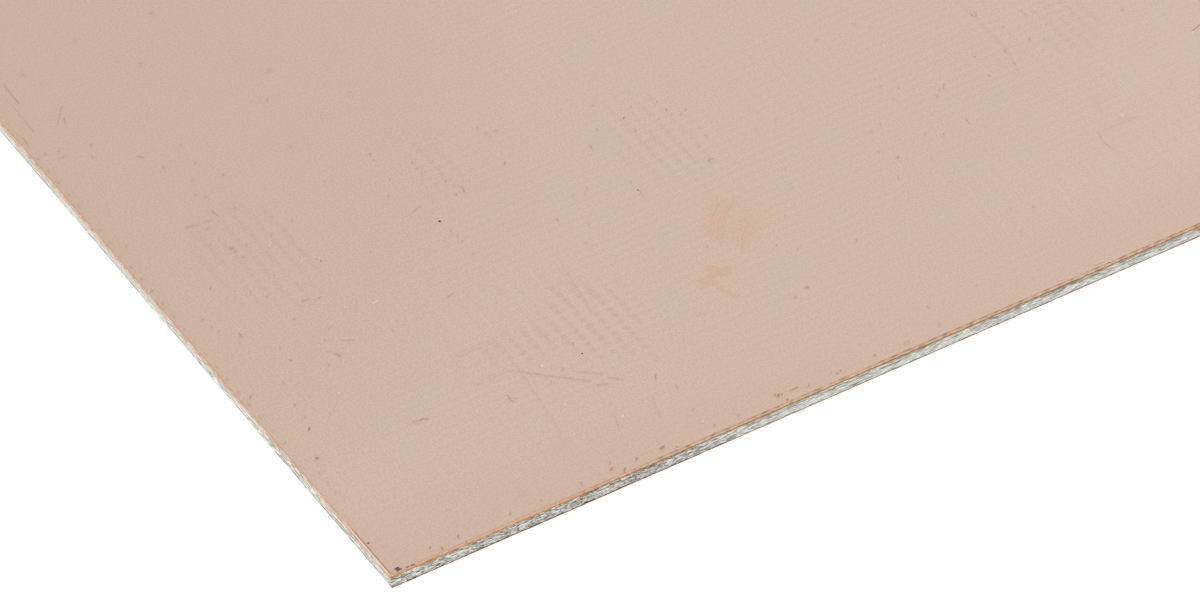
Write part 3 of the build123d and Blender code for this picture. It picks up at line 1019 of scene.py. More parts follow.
# Dust, and dents painted bright as highlights: start, end, width, strength
white_strokes = [
    ((6.87, 24.95), (7.17, 25.4), 0.08, 0.6), ((9.1, 18.05), (9.42, 18.12), 0.08, 0.55),
    ((48.0, 9.25), (48.15, 9.45), 0.1, 0.45), ((5.93, 21.55), (5.97, 21.6), 0.09, 0.35),
    ((4.35, 13.0), (4.4, 13.1), 0.1, 0.45), ((4.1, 7.3), (4.13, 7.32), 0.09, 0.3),
    ((1.5, 6.05), (1.54, 6.07), 0.09, 0.35), ((6.6, 3.2), (6.65, 3.2), 0.09, 0.35),
    ((4.5, 2.7), (4.54, 2.7), 0.09, 0.35), ((9.35, 8.0), (9.37, 8.1), 0.09, 0.35),
    ((13.7, 9.2), (13.75, 9.25), 0.1, 0.6), ((12.5, 3.9), (12.53, 4.0), 0.09, 0.4),
    ((13.2, 6.05), (13.22, 6.1), 0.09, 0.35), ((15.1, 3.7), (15.15, 3.75), 0.09, 0.35),
    ((18.2, 1.2), (18.25, 1.22), 0.1, 0.35), ((11.3, 19.67), (11.33, 19.7), 0.08, 0.3),
    ((12.3, 18.96), (12.35, 19.0), 0.08, 0.3), ((7.7, 18.6), (7.73, 18.64), 0.09, 0.4),
    ((17.2, 37.93), (17.25, 37.96), 0.09, 0.35),
]
print(len(dark_strokes), "dark,", len(orange_strokes), "orange and", len(white_strokes), "white strokes")

# %% [markdown]
# ## Stains and oxide
# Stains and oxide belong to the copper's skin and have no sharp border, so they are listed as soft
# ellipses. Inside the ellipses of oxide the colour shows only on the crossings of the yarns, which a
# later cell works out.

# %% Stains and oxide seen in the photograph
# Orange stains, each a soft ellipse: x, y, half-width, half-height, strength
stain_patches = [
    (24.4, 10.8, 0.38, 0.5, 0.32), (24.8, 10.42, 0.52, 0.32, 0.34), (23.92, 10.15, 0.6, 0.34, 0.32),
    (24.35, 10.35, 0.6, 0.34, 0.33), (24.12, 9.5, 0.38, 0.8, 0.28), (24.35, 8.5, 0.3, 0.75, 0.2),
    (27.6, 13.2, 2.6, 2.4, 0.10), (45.4, 17.4, 1.1, 2.2, 0.04), (46.9, 16.8, 0.8, 0.6, 0.04),
    (39.6, 12.0, 0.4, 0.3, 0.1),
]
# The rectangles that hold the stains: lowest and highest x, lowest and highest y
stained_rectangles = [(22.0, 31.2, 6.8, 16.4), (43.6, 48.2, 14.2, 20.6), (38.8, 40.4, 11.3, 12.7)]
# Oxide on the crossings: x, y, half-width, half-height, strength. In some places it is orange ...
orange_patches = [
    (14.0, 11.2, 3.6, 1.9, 0.3), (17.7, 10.8, 3.6, 3.9, 0.39), (17.25, 11.4, 0.4, 5.0, 0.34),
    (18.7, 9.9, 0.4, 4.4, 0.4),
]
# ... and in others a thin brown
brown_patches = [
    (27.4, 21.5, 2.9, 6.2, 0.18), (6.0, 24.5, 3.6, 6.5, 0.2), (17.0, 25.5, 1.6, 3.4, 0.21),
    (50.0, 17.5, 2.5, 4.0, 0.11),
]
print(len(stain_patches), "stains and", len(orange_patches) + len(brown_patches), "patches of oxide")

# %% [markdown]
# ## One field for all marks
# Dots and strokes are the same thing: a dot is a stroke that ends where it starts. The distance from a
# point to a stroke is the distance to the nearest place on its line, found by clamping the point's foot
# between the ends. Where two marks overlap the stronger one wins, so their patches agree and neither cuts
# a hole in the other.

# %% The field of listed marks


def linear(red, green, blue):
    """A colour as seen on a screen, 0 to 255 each, turned into the linear light that shaders work in."""
    seen_colour = np.array([red, green, blue]) / 255
    light = np.where(seen_colour <= 0.04045, seen_colour / 12.92, ((seen_colour + 0.055) / 1.055) ** 2.4)
    return (*[float(c) for c in light], 1.0)


def brushed(line, lines, spread, seed):
    """Fine scratches side by side: each follows the line, moved sideways, with its ends at random places."""
    draw = np.random.default_rng(seed)
    line = np.array(line)
    heading = (line[-1] - line[0]) / np.linalg.norm(line[-1] - line[0])
    strokes = []
    for offset in np.linspace(-spread, spread, lines):
        begin, finish = draw.uniform(0.0, 0.9), draw.uniform(len(line) - 2.2, len(line) - 1.0)
        where = np.linspace(begin, finish, 5)
        bent = np.stack([np.interp(where, np.arange(len(line)), line[:, k]) for k in (0, 1)], -1)
        bent = bent + (offset + draw.normal(0.0, 0.05)) * np.array([-heading[1], heading[0]])
        strength = draw.uniform(0.08, 0.24)
        strokes += [(bent[k], bent[k + 1], 0.1, strength) for k in range(4)]
    return strokes


speck_black = linear(60, 36, 20)
speck_brown = linear(144, 87, 34)
speck_grey = linear(92, 88, 89)
speck_rust = linear(188, 116, 34)
rubbed_orange = linear(207, 150, 116)
dust_and_highlight = linear(232, 226, 216)


def tick_rows(entries, half_width, half_height, reach, factor):
    """Ticks (x, y, strength) as short slanting strokes, from one corner of a small box to the other."""
    w, h = half_width, half_height
    return [(x - w, y - h, x + w, y + h, reach, 0.01, factor * s, *speck_brown) for x, y, s in entries]


def stroke_rows(entries, reach, core, factor, colour):
    """Strokes (start, end, width, strength). Reach and core are shares of the width."""
    return [(*a, *b, reach * w, core * w, factor * s, *colour) for a, b, w, s in entries]


# A row is: start, end, the reach where the mark ends, the core where it starts to fade, strength, colour
rows = tick_rows(front_ticks, 0.035, 0.055, 0.07, 1.05) + tick_rows(ticks, 0.03, 0.06, 0.06, 0.62)
rows += [(x, y, x, y, 1.3 * r, 0.3 * r, 0.8 * s, *speck_brown) for x, y, r, s in smudges]
rows += stroke_rows(dark_strokes, 0.7, 0.15, 0.65, speck_brown)
rows += stroke_rows(orange_strokes, 0.85, 0.1, 0.55, rubbed_orange)
rows += [(x, y, x, y, 1.2 * r, 0.8 * r, 1.0, *speck_grey) for x, y, r in flakes]
rows += stroke_rows(white_strokes, 0.65, 0.2, 1.0, dust_and_highlight)
patched = len(rows)  # the rest lie too close together for a patch each
for seed, (line, lines, spread) in enumerate(bundles_rubbed):
    rows += stroke_rows(brushed(line, lines, spread, 110 + seed), 0.85, 0.1, 1.0, rubbed_orange)
marks = np.array(rows)
mark_start, mark_end, mark_reach, mark_core = marks[:, 0:2], marks[:, 2:4], marks[:, 4], marks[:, 5]
mark_strength, mark_colour = marks[:, 6], marks[:, 7:11]
shake = 0.05  # the rim of a mark wanders by up to this much


def listed_marks(x, y):
    """Strength and colour of the strongest listed mark at each point, once the points are shaken a little."""
    x = x + shake * rough(x, y, 0.19, 0.17, 91)
    y = y + shake * rough(x, y, 0.18, 0.21, 92)
    point = np.stack([x, y], -1)[:, None]
    reach = mark_end - mark_start
    share = ((point - mark_start) * reach).sum(-1) / np.maximum((reach**2).sum(-1), 1e-9)
    foot = mark_start + np.clip(share, 0, 1)[..., None] * reach
    distance = np.linalg.norm(point - foot, axis=-1)
    strength = mark_strength * smooth_step(distance, mark_reach, mark_core)
    best = strength.argmax(1)
    return strength.max(1), mark_colour[best]


def stain(x, y):
    """Strength of the orange stains: the strongest of a few soft ellipses, with ragged rims."""
    x = x + 0.22 * rough(x, y, 0.45, 0.4, 93) + 0.10 * rough(x, y, 0.17, 0.17, 94)
    y = y + 0.22 * rough(x, y, 0.4, 0.45, 95) + 0.10 * rough(x, y, 0.17, 0.17, 96)
    strongest = np.zeros_like(x)
    for centre_x, centre_y, half_width, half_height, strength in stain_patches:
        distance = np.hypot((x - centre_x) / half_width, (y - centre_y) / half_height)
        strongest = np.maximum(strongest, strength * smooth_step(distance, 1.2, 0.55))
    return strongest


print(len(marks), "marks in the field")

# %% [markdown]
# ## Patches for the marks
# A patch has a point in the middle and a few rings round it, drawn out along the stroke. Crisp specks
# keep full strength almost to the rim. The stains get a small grid each instead, because their shape is
# not round.

# %% Patches
listed_spokes = 12
stain_spacing = 0.11


def ring_patches(start, end, reach, ring_shares, spokes):
    """Patches round strokes: centre plus rings. A ring point is the stroke's end on its side of the middle,
    plus reach times the ring's share in the direction of its spoke. Gives points, by patch, and faces."""
    middle = (start + end) / 2
    half_stroke = (end - start) / 2
    half_length = np.linalg.norm(half_stroke, axis=1, keepdims=True)
    heading = np.where(half_length > 1e-6, half_stroke / np.maximum(half_length, 1e-6), [[1.0, 0.0]])
    across = np.stack([-heading[:, 1], heading[:, 0]], -1)
    angle = 2 * np.pi * (np.arange(spokes) + 0.5) / spokes
    cosine, sine = np.cos(angle)[None, :, None], np.sin(angle)[None, :, None]
    direction = heading[:, None] * cosine + across[:, None] * sine
    ends = middle[:, None] + half_stroke[:, None] * np.sign(cosine)
    rings = ends[:, None] + direction[:, None] * (reach[:, None] * ring_shares)[..., None, None]
    points = np.concatenate([middle[:, None], rings.reshape(len(start), -1, 2)], 1)
    per_patch = points.shape[1]
    ring = 1 + np.arange(len(ring_shares) * spokes).reshape(-1, spokes)
    ahead = np.roll(ring, -1, axis=1)
    fan = np.stack([np.zeros(spokes, int), ring[0], ahead[0]], -1)
    walls = np.stack([ring[:-1], ring[1:], ahead[1:], ahead[:-1]], -1).reshape(-1, 4)
    first = (np.arange(len(start)) * per_patch)[:, None, None]
    return points, [(fan + first).reshape(-1, 3), (walls + first).reshape(-1, 4)]


def stacked(height, patches, per_patch, levels=12, hair=0.0001):
    """A height for each point. The levels come round in turn, a hair apart, so that the patches of joined
    strokes never share a plane."""
    return height + hair * np.repeat(np.arange(patches) % levels, per_patch)


def patch_layer(start, end, reach, strength, colour, softness, height, spokes=8):
    """Patches of two rings: full strength in the middle and none on the rim. softness is where the first ring
    lies and its share of the strength. A layer is (points, faces, strength, colour, stain, height)."""
    points, faces = ring_patches(start, end, reach, np.array([softness[0], 1.0]), spokes)
    fading = np.concatenate([[1.0], np.full(spokes, softness[1]), np.zeros(spokes)])
    shares = (strength[:, None] * fading).ravel()
    colours = np.repeat(colour, points.shape[1], axis=0)
    heights = stacked(height, len(start), points.shape[1])
    return points.reshape(-1, 2), faces, shares, colours, np.zeros(len(shares)), heights


def stained_layer(x_low, x_high, y_low, y_high, height, spacing=stain_spacing):
    """A flat grid of points over a rectangle, with the stain at each."""
    xs = np.linspace(x_low, x_high, round((x_high - x_low) / spacing) + 1)
    ys = np.linspace(y_low, y_high, round((y_high - y_low) / spacing) + 1)
    points = np.stack(np.meshgrid(xs, ys, indexing="ij"), -1).reshape(-1, 2)
    index = np.arange(len(points)).reshape(len(xs), len(ys))
    cells = np.stack([index[:-1, :-1], index[1:, :-1], index[1:, 1:], index[:-1, 1:]], -1).reshape(-1, 4)
    brown = np.tile(speck_brown, (len(points), 1))
    return points, [cells], np.zeros(len(points)), brown, stain(*points.T), height


def marked_layer(x_low, x_high, y_low, y_high, height, spacing):
    """A flat grid of points over a rectangle, with the marks and the stain at each."""
    points, cells, *_, stained, height = stained_layer(x_low, x_high, y_low, y_high, height, spacing)
    strength, colour = listed_marks(*points.T)
    return points, cells, strength, colour, stained, height


print("a listed mark has", 1 + 3 * listed_spokes, "points")

# %% [markdown]
# ## Oxide on the crossings
# In places the copper has gone orange or brown just where two dips of the cloth cross, and the whole
# weave shows as rows of dots. Each dot is longer along the weft. How strong it is depends on chance, on
# its column, and on how deep it lies in its patch.

# %% Oxide dots
oxide_orange = linear(198, 142, 108)
oxide_brown = linear(188, 142, 114)
weave_starts = (0.13, 0.31)  # where the first dips lie, counted from the near corner along X and along Y
weave_drawn = -0.33  # cloth is never quite square: the dips drift by this much between these two places
drawn_from, drawn_to = 3.0, 31.0


def oxide_dots(patches, tone, seed):
    """Strokes for the crossings inside the patches: (start, end, reach, strength, colour). A crossing takes
    the strongest patch that it lies in: strength * smooth_step of its distance, in half-widths."""
    draw = np.random.default_rng(seed)
    x, y, half_width, half_height, strength = np.array(patches).T[:, :, None, None]
    first_column, last_column = (x - half_width).min() / weft_pitch, (x + half_width).max() / weft_pitch
    first_line, last_line = (y - half_height).min() / warp_pitch, (y + half_height).max() / warp_pitch
    columns = weft_pitch * np.arange(np.ceil(first_column), last_column)
    lines = warp_pitch * np.arange(np.ceil(first_line), last_line)
    column, line = np.meshgrid(columns, lines, indexing="ij")
    at_x = column + weave_starts[0] + weave_drawn * smooth_step(line, drawn_from, drawn_to)
    at_y = line + weave_starts[1] + weave_drawn * smooth_step(column, drawn_from, drawn_to)
    depth = smooth_step(np.hypot((at_x - x) / half_width, (at_y - y) / half_height), 1.0, 0.35)
    column_chance = draw.uniform(0.6, 1.0, (len(columns), 1))
    share = (strength * depth).max(0) * column_chance * draw.uniform(0.5, 0.95, at_x.shape)
    found = np.stack([at_x, at_y, share], -1)[share > 0.03]
    middle = found[:, :2] + draw.normal(0.0, 0.025, (len(found), 2))
    half_length = np.stack([np.zeros(len(found)), draw.uniform(0.02, 0.1, len(found))], -1)
    reach = draw.uniform(0.16, 0.22, len(found))
    return middle - half_length, middle + half_length, reach, found[:, 2], np.tile(tone, (len(found), 1))


print("crossings every", round(weft_pitch, 3), "by", round(warp_pitch, 3), "mm")

# %% [markdown]
# ## Marks where the camera does not see
# The rest of the sheet, which the photograph does not show, gets marks of the same kinds at random places,
# and about half as many to the square centimetre.

# %% Random marks
seen_x, seen_y = 56.0, 50.0  # the photograph shows about this much of the two edges
marks_per_face = 1100


def random_marks(count, seed):
    """Marks for an unseen face, (start, end, reach, strength, colour). One in four is a short scratch."""
    draw = np.random.default_rng(seed)
    start = draw.uniform((1.0, 1.0), (2 * half_x - 1.0, 2 * half_y - 1.0), (count, 2))
    is_scratch = draw.random(count) < 0.25
    angle = draw.normal(1.0, 0.6, count)
    length = np.where(is_scratch, draw.uniform(0.3, 1.0, count) ** 2 * 2.2, draw.uniform(0.05, 0.2, count))
    end = start + np.stack([np.cos(angle), np.sin(angle)], -1) * length[:, None]
    reach = draw.uniform(0.05, 0.1, count)
    strength = 0.65 * draw.uniform(0.15, 1.0, count) ** 1.5
    kind = draw.choice(4, count, p=[0.82, 0.06, 0.10, 0.02])
    colour = np.array([speck_brown, rubbed_orange, dust_and_highlight, speck_black])[kind]
    return start, end, reach, strength, colour


def random_patches(count, seed):
    """Patches of oxide dots at random places."""
    draw = np.random.default_rng(seed)
    middle = draw.uniform((5.0, 5.0), (2 * half_x - 5.0, 2 * half_y - 5.0), (count, 2))
    return np.column_stack([middle, draw.uniform(1.5, 4.5, (count, 2)), draw.uniform(0.15, 0.45, count)])


def where_unseen(strokes):
    """Keeps the strokes that start outside the part of the top face that the photograph shows."""
    kept = np.hypot(strokes[0][:, 0] / seen_x, strokes[0][:, 1] / seen_y) > 1.0
    return [values[kept] for values in strokes]


print("marks to the square centimetre:", round(marks_per_face / (4 * half_x * half_y) * 100, 1))

# %% [markdown]
# ## One mesh of marks for each face
# All patches of a face are joined into one mesh and laid in layers: stains lowest, then oxide, then
# scratches and ticks, then specks. The layers lie about a thousandth of a millimetre apart, so that no
# patch cuts through another, and a mark also rises with its strength, so that of two that overlap the
# stronger lies on top. The underside's marks face down and lie in the narrow gap between its foil and the
# floor.

# %% Marks on the copper
skin = 0.001  # the step between layers; stains lie one step above the foil
mark_lift = 0.004  # a mark at full strength rises by this much
under_dots, under_marks = 0.00075, 0.0002  # heights above the floor
soft_dot, soft_mark, crisp_rim = (0.5, 0.75), (0.45, 0.8), (0.7, 1.0)


def crisp(specks, colour, height):
    """A layer of specks (x, y, radius) at full strength almost to the rim."""
    specks = np.array(specks)
    centre, radius = specks[:, :2], specks[:, 2]
    colours = np.tile(colour, (len(specks), 1))
    return patch_layer(centre, centre, radius, np.ones(len(specks)), colours, crisp_rim, height)


def copper_marks(name, layers, lift, faces_down):
    """One mesh of patches from layers. Marks stand up from their height by lift times their strength."""
    points, groups, strength, colour, stained, count = [], [], [], [], [], 0
    for layer_points, layer_groups, layer_strength, layer_colour, layer_stain, layer_height in layers:
        height = layer_height + lift * layer_strength
        points.append(np.column_stack([layer_points - (half_x, half_y), height]))
        groups += [group[:, ::-1] + count if faces_down else group + count for group in layer_groups]
        strength.append(layer_strength)
        colour.append(layer_colour)
        stained.append(layer_stain)
        count += len(layer_points)
    made = build_mesh(name, np.concatenate(points), groups, 60.0)
    for key, values in (("mark", strength), ("stain", stained)):
        data = np.concatenate(values).astype(np.float32)
        made.data.attributes.new(key, "FLOAT", "POINT").data.foreach_set("value", data)
    colours = np.concatenate(colour).astype(np.float32).ravel()
    made.data.attributes.new("mark_colour", "FLOAT_COLOR", "POINT").data.foreach_set("color", colours)
    report(made)
    return made


on_foil = board_top + skin
listed_points, listed_faces = ring_patches(
    mark_start[:patched], mark_end[:patched], mark_reach[:patched] + shake,
    np.array([0.3, 0.6, 1.0]), listed_spokes,
)
listed_heights = stacked(on_foil + 2 * skin, patched, listed_points.shape[1])
listed_points = listed_points.reshape(-1, 2)
listed_strength, listed_colour = listed_marks(*listed_points.T)

top_layers = [stained_layer(*rectangle, on_foil) for rectangle in stained_rectangles] + [
    (listed_points, listed_faces, listed_strength, listed_colour, stain(*listed_points.T), listed_heights),
    crisp(black_specks, speck_black, on_foil + 3.5 * skin),
    crisp(rust_specks, speck_rust, on_foil + 3.5 * skin),
    marked_layer(0.2, 0.86, 0.06, 0.56, on_foil + 5 * skin, 0.02),  # the flake
    marked_layer(25.0, 29.4, 10.2, 15.9, on_foil + 0.3 * skin, 0.045),  # the bundles of rubbed lines
    patch_layer(*oxide_dots(orange_patches, oxide_orange, 103), soft_dot, on_foil + 0.5 * skin),
    patch_layer(*oxide_dots(brown_patches, oxide_brown, 108), soft_dot, on_foil + 0.5 * skin),
    patch_layer(*where_unseen(oxide_dots(random_patches(14, 104), oxide_orange, 105)), soft_dot, on_foil),
    patch_layer(*where_unseen(random_marks(marks_per_face, 101)), soft_mark, on_foil + 2 * skin),
]
base_layers = [
    patch_layer(*oxide_dots(random_patches(16, 106), oxide_orange, 107), soft_dot, under_dots),
    patch_layer(*random_marks(marks_per_face, 102), soft_mark, under_marks),
]
marks_on_top = copper_marks("marks_on_top", top_layers, mark_lift, False)
marks_underneath = copper_marks("marks_underneath", base_layers, 0.0, True)

# %% [markdown]
# ## The copper face
# This copper is dull: a thin skin of oxide has turned it from orange to a pale pinkish brown. It is still
# metal, so the shader is fully metallic and its colour is what the metal reflects. Everything else is a
# small change to that colour: slow clouds in it, a warmer band along the long sides that is a painted
# reflection, darker copper along the ends, painted shade by the near corner, the grid of yarns showing
# through as faint rows and columns of painted shade, and grains as fine as the foil's own roughness.
# The same recipe serves both foils and the patches of their marks.

# %% Copper colours and patterns
copper_face = linear(204, 181, 164)
copper_pink = linear(206, 181, 165)
copper_edge = linear(216, 160, 108)
copper_bend = linear(226, 194, 164)
copper_fresh = linear(208, 126, 52)
# Painted shade on copper: in creases, in the dips of the weave and at the torn feet
copper_shade = linear(130, 92, 54)
copper_pale = linear(203, 182, 166)
copper_glint = linear(238, 212, 190)
copper_side_reflection = linear(203, 174, 157)
# Darker copper, for painted shade by the near corner and a band at the ends
copper_darker = linear(199, 173, 157)
copper_stain = linear(206, 157, 123)
# The part by the near corner where shade is painted on the top face
painted_shade_part = (0.0, 48.0, 32.0, 44.0, 0.66)  # x, y, half-width, half-height, strength
face_relief = 0.0022 * MM  # how high a full step of the relief stands


def ellipse(tree, at, x, y, reach_x, reach_y, strength=1.0):
    """A soft patch: the distance to its centre, measured in its own half-widths."""
    offset = vector_calc(tree, "SUBTRACT", at, (x, y, 0.0))
    scaled = vector_calc(tree, "MULTIPLY", offset, (1 / reach_x, 1 / reach_y, 0.0))
    return fade(tree, vector_calc(tree, "LENGTH", scaled), 1.0, 0.45, 0.0, strength)


def weave_waves(tree, at):
    """Two cosines that peak in the dips between yarns: (across the weft, across the warp), each -1 to 1."""
    split = node(tree, "ShaderNodeSeparateXYZ", {0: at})
    waves = []
    for axis, other, spacing_mm, start in (
        ("X", "Y", weft_pitch, weave_starts[0]), ("Y", "X", warp_pitch, weave_starts[1]),
    ):
        shift_here = fade(tree, split.outputs[other], drawn_from, drawn_to, start, start + weave_drawn)
        moved_in = calc(tree, "SUBTRACT", split.outputs[axis], shift_here)
        waves.append(calc(tree, "COSINE", calc(tree, "MULTIPLY", moved_in, 2 * math.pi / spacing_mm)))
    return waves


def edge_distance(tree, at):
    """How far a point is from the nearest long side, and from the nearest short end, in millimetres."""
    centred = vector_calc(tree, "ABSOLUTE", vector_calc(tree, "SUBTRACT", at, (half_x, half_y, 0.0)))
    split = node(tree, "ShaderNodeSeparateXYZ", {0: centred})
    to_end = calc(tree, "SUBTRACT", half_x, split.outputs["X"])
    to_side = calc(tree, "SUBTRACT", half_y, split.outputs["Y"])
    return to_side, to_end


print("copper colours ready")

# %% [markdown]
# ## One recipe for both foils
# The colour is built like thin coats of paint: each step lays another tone over the last by a share from
# 0 to 1, and the share comes from noise, from a distance or from a number that the shape stored. Marks
# take their tone from their own points, so one material serves the foil and every patch on it. Gloss and
# relief come last, from the same noise, so that they agree with the colour.

# %% The copper material


def copper_material(name, photographed, moved_by):
    """Dull copper foil. photographed adds painted shade over a part by the near corner, which only the top
    face has. moved_by shifts the clouds and rows, so that the two faces differ."""
    material, tree, shader = new_material(name)
    coordinates = tree.nodes.new("ShaderNodeTexCoord").outputs["Object"]
    at = vector_calc(tree, "MULTIPLY", coordinates, (1 / MM, 1 / MM, 0.0))
    at = vector_calc(tree, "ADD", at, (half_x, half_y, 0.0))
    moved = vector_calc(tree, "ADD", at, (moved_by, 0.7 * moved_by, 0.0))

    # Slow clouds of warmer and paler copper, then finer ones
    clouds = noise(tree, moved, 0.06, 3.0)
    blotches = noise(tree, moved, 0.45, 3.0)
    colour = tint(tree, fade(tree, clouds, 0.25, 0.8), copper_face, copper_pink)
    colour = tint(tree, fade(tree, blotches, 0.2, 0.85, 0.0, 0.8), colour, copper_pale)

    # The yarns underneath: rows are clearer than columns, both come and go, and their dips get painted shade
    waves = weave_waves(tree, at)
    rows_here = fade(tree, noise(tree, moved, 0.09, 2.0), 0.3, 0.7, 0.4, 1.0)
    elsewhere = vector_calc(tree, "ADD", moved, (37.0, 91.0, 0.0))
    columns_here = fade(tree, noise(tree, elsewhere, 0.11, 2.0), 0.38, 0.7)
    rows = calc(tree, "MULTIPLY", waves[1], rows_here)
    columns = calc(tree, "MULTIPLY", waves[0], columns_here)
    dips = calc(tree, "ADD", rows, calc(tree, "MULTIPLY", columns, 0.6))
    colour = tint(tree, fade(tree, dips, -1.2, 1.6, 0.0, 0.03), colour, copper_shade)

    # Painted reflection: warmer along the long sides. Darker within about a millimetre of the ends
    to_side, to_end = edge_distance(tree, at)
    side_reflection = fade(tree, to_side, 6.5, 0.2, 0.0, 0.5)
    colour = tint(tree, side_reflection, colour, copper_side_reflection)
    colour = tint(tree, fade(tree, to_end, 1.2, 0.1, 0.0, 0.2), colour, copper_darker)
    # Painted shade over a part by the near corner
    if photographed:
        colour = tint(tree, ellipse(tree, at, *painted_shade_part), colour, copper_darker)

    # Stains and marks, from the patches
    mark = attribute(tree, "mark")
    mark_tone = node(tree, "ShaderNodeAttribute", {}, attribute_name="mark_colour").outputs["Color"]
    colour = tint(tree, attribute(tree, "stain"), colour, copper_stain)
    colour = tint(tree, mark, colour, mark_tone)

    # The foil's own grain
    grain = noise(tree, at, 9.0, 3.0)
    speckle = tint(tree, fade(tree, grain, 0.3, 0.7), (0.94, 0.94, 0.94, 1.0), (1.06, 1.06, 1.06, 1.0))
    colour = tint(tree, 1.0, colour, speckle, "MULTIPLY")

    # The bend and the torn end, from the numbers stored with the shape, with painted shade and highlight
    bend = attribute(tree, "bend")
    along_cut = node(tree, "ShaderNodeUVMap", {}, uv_map="edge_run").outputs[0]
    lumps = noise(tree, vector_calc(tree, "MULTIPLY", along_cut, (1.0, 1.6, 0.0)), 3.2, 2.0)
    bend_colour = tint(tree, fade(tree, lumps, 0.38, 0.6), copper_edge, copper_bend)
    bend_colour = tint(tree, attribute(tree, "fresh"), bend_colour, copper_fresh)
    bend_colour = tint(tree, attribute(tree, "foot", 0.75), bend_colour, copper_shade)
    bend_colour = tint(tree, attribute(tree, "glint", 0.9), bend_colour, copper_glint)
    colour = tint(tree, bend, colour, bend_colour)
    colour = tint(tree, attribute(tree, "crease", 0.78), colour, copper_shade)
    tree.links.new(colour, shader.inputs["Base Color"])

    # Gloss: satin on the face, brighter on the bend, and matt where there is dirt
    gloss = fade(tree, grain, 0.2, 0.8, 0.40, 0.50)
    gloss = calc(tree, "MULTIPLY_ADD", bend, -0.08, gloss)
    gloss = calc(tree, "MULTIPLY_ADD", mark, 0.2, gloss)
    tree.links.new(gloss, shader.inputs["Roughness"])
    tree.links.new(calc(tree, "MULTIPLY_ADD", mark, -0.8, 1.0), shader.inputs["Metallic"])

    # Relief: the yarns a micron or two high, and the grain
    height = calc(tree, "MULTIPLY_ADD", grain, 0.9, calc(tree, "MULTIPLY", dips, -0.3))
    bump = node(tree, "ShaderNodeBump", {"Height": height, "Distance": face_relief, "Strength": 1.0})
    tree.links.new(bump.outputs[0], shader.inputs["Normal"])
    print(name, "has", len(tree.nodes), "nodes")
    return material


top_copper = copper_material("dull_copper_top", True, 0.0)
bottom_copper = copper_material("dull_copper_underside", False, 210.0)

# %% [markdown]
# ## Glass and epoxy
# Cut laminate is pale grey-green: white where the light catches broken glass, darker where there is only
# resin. The shape already carries the broad pattern. The material adds what is finer than its points:
# filaments as thin streaks along the edge, and specks. Its patterns use the UV map that follows the edge,
# so the streaks run along every side and never across it.

# %% The laminate material
resin_dark = linear(80, 77, 58)
resin_grey = linear(142, 142, 131)
glass_grey = linear(201, 201, 192)
glass_white = linear(247, 248, 243)
smear_copper = linear(206, 140, 98)
lip_shadow = linear(118, 82, 52)
cut_relief = 0.012 * MM

glass_epoxy, tree, shader = new_material("cut_glass_and_epoxy")
along_cut = node(tree, "ShaderNodeUVMap", {}, uv_map="edge_run").outputs[0]
where_along = node(tree, "ShaderNodeSeparateXYZ", {0: along_cut}).outputs["X"]
combed_run = node(tree, "ShaderNodeCombineXYZ", {"X": where_along, "Y": attribute(tree, "combed")}).outputs[0]
streaks = noise(tree, vector_calc(tree, "MULTIPLY", combed_run, (1.7, 20.0, 0.0)), 1.0, 1.0)
fine_specks = noise(tree, vector_calc(tree, "MULTIPLY", along_cut, (10.0, 24.0, 0.0)), 1.0, 2.0)
streaked = attribute(tree, "calm", fade(tree, streaks, 0.3, 0.7, -0.42, 0.42))
white_here = calc(tree, "ADD", attribute(tree, "whiteness"), streaked)
ends_here = attribute(tree, "lenses", fade(tree, fine_specks, 0.35, 0.65, -0.35, 0.25))
white_here = calc(tree, "ADD", white_here, ends_here, clamp=True)
colour = tint(tree, fade(tree, white_here, 0.0, 0.5), resin_grey, glass_grey)
colour = tint(tree, fade(tree, white_here, 0.5, 1.0), colour, glass_white)
dark_here = attribute(tree, "pits", fade(tree, fine_specks, 0.3, 0.6, 0.4, 1.0))
gaps = noise(tree, vector_calc(tree, "MULTIPLY", combed_run, (1.7, 8.0, 0.0)), 1.0, 1.0)
gap_lines = fade(tree, calc(tree, "ABSOLUTE", calc(tree, "SUBTRACT", gaps, 0.5)), 0.05, 0.015)
gap_share = calc(tree, "MULTIPLY_ADD", attribute(tree, "crushed"), 0.75, 0.12)
gap_lines = calc(tree, "MULTIPLY", gap_lines, gap_share)
dark_here = calc(tree, "MAXIMUM", dark_here, gap_lines)
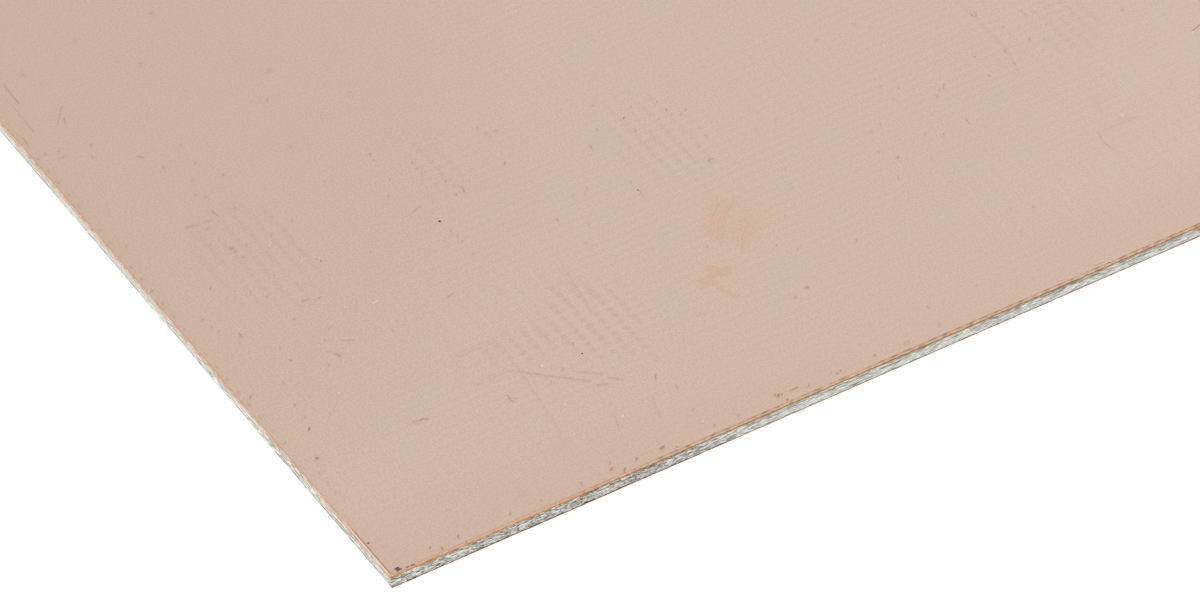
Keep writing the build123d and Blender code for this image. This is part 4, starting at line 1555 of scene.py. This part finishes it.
colour = tint(tree, calc(tree, "MULTIPLY", dark_here, 0.92), colour, resin_dark)
colour = tint(tree, attribute(tree, "under_lip", 0.75), colour, lip_shadow)
smear_here = attribute(tree, "smears", fade(tree, fine_specks, 0.3, 0.55, 0.5, 0.95))
colour = tint(tree, smear_here, colour, smear_copper)
tree.links.new(colour, shader.inputs["Base Color"])
shader.inputs["Roughness"].default_value = 0.6
shader.inputs["Specular IOR Level"].default_value = 0.4
height = calc(tree, "MULTIPLY_ADD", streaks, 1.0, calc(tree, "MULTIPLY", fine_specks, 0.6))
bump = node(tree, "ShaderNodeBump", {"Height": height, "Distance": cut_relief, "Strength": 1.0})
tree.links.new(bump.outputs[0], shader.inputs["Normal"])
print("the cut glass has", len(tree.nodes), "nodes")

# %% [markdown]
# ## Bare filaments
# A filament that has left the laminate has no resin round it, so it is whiter and glossier than the cut
# face. It is far too fine for streaks, and slow clouds in its tone are enough.

# %% The filament material
bare_glass, tree, shader = new_material("bare_glass_filament")
coordinates = tree.nodes.new("ShaderNodeTexCoord").outputs["Object"]
clouding = noise(tree, coordinates, 9000.0, 2.0, flat=False)
tree.links.new(
    tint(tree, fade(tree, clouding, 0.3, 0.7), linear(214, 204, 190), linear(240, 236, 226)),
    shader.inputs["Base Color"],
)
shader.inputs["Roughness"].default_value = 0.35
print("the bare glass has", len(tree.nodes), "nodes")

# %% [markdown]
# ## Bringing the pieces together
# Each surface now stands for a piece of the measured model, rides on the board's one body and takes its
# material. The frayed ends and loose filaments are part of the cloth, and take the bare glass material.

# %% Ride, replace and finish
for piece, replaced, slot_name, material in (
    (top_foil, "top_copper_foil", "copper", top_copper),
    (core, "laminate_core", "glass_epoxy", glass_epoxy),
    (bottom_foil, "bottom_copper_foil", "copper", bottom_copper),
    (frayed_ends, None, "glass_epoxy", bare_glass),
    (loose, None, "glass_epoxy", bare_glass),
    (marks_on_top, None, "copper", top_copper),
    (marks_underneath, None, "copper", bottom_copper),
):
    piece.data.materials.append(material)
    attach(piece, "root")
    if replaced:
        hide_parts(replaced)
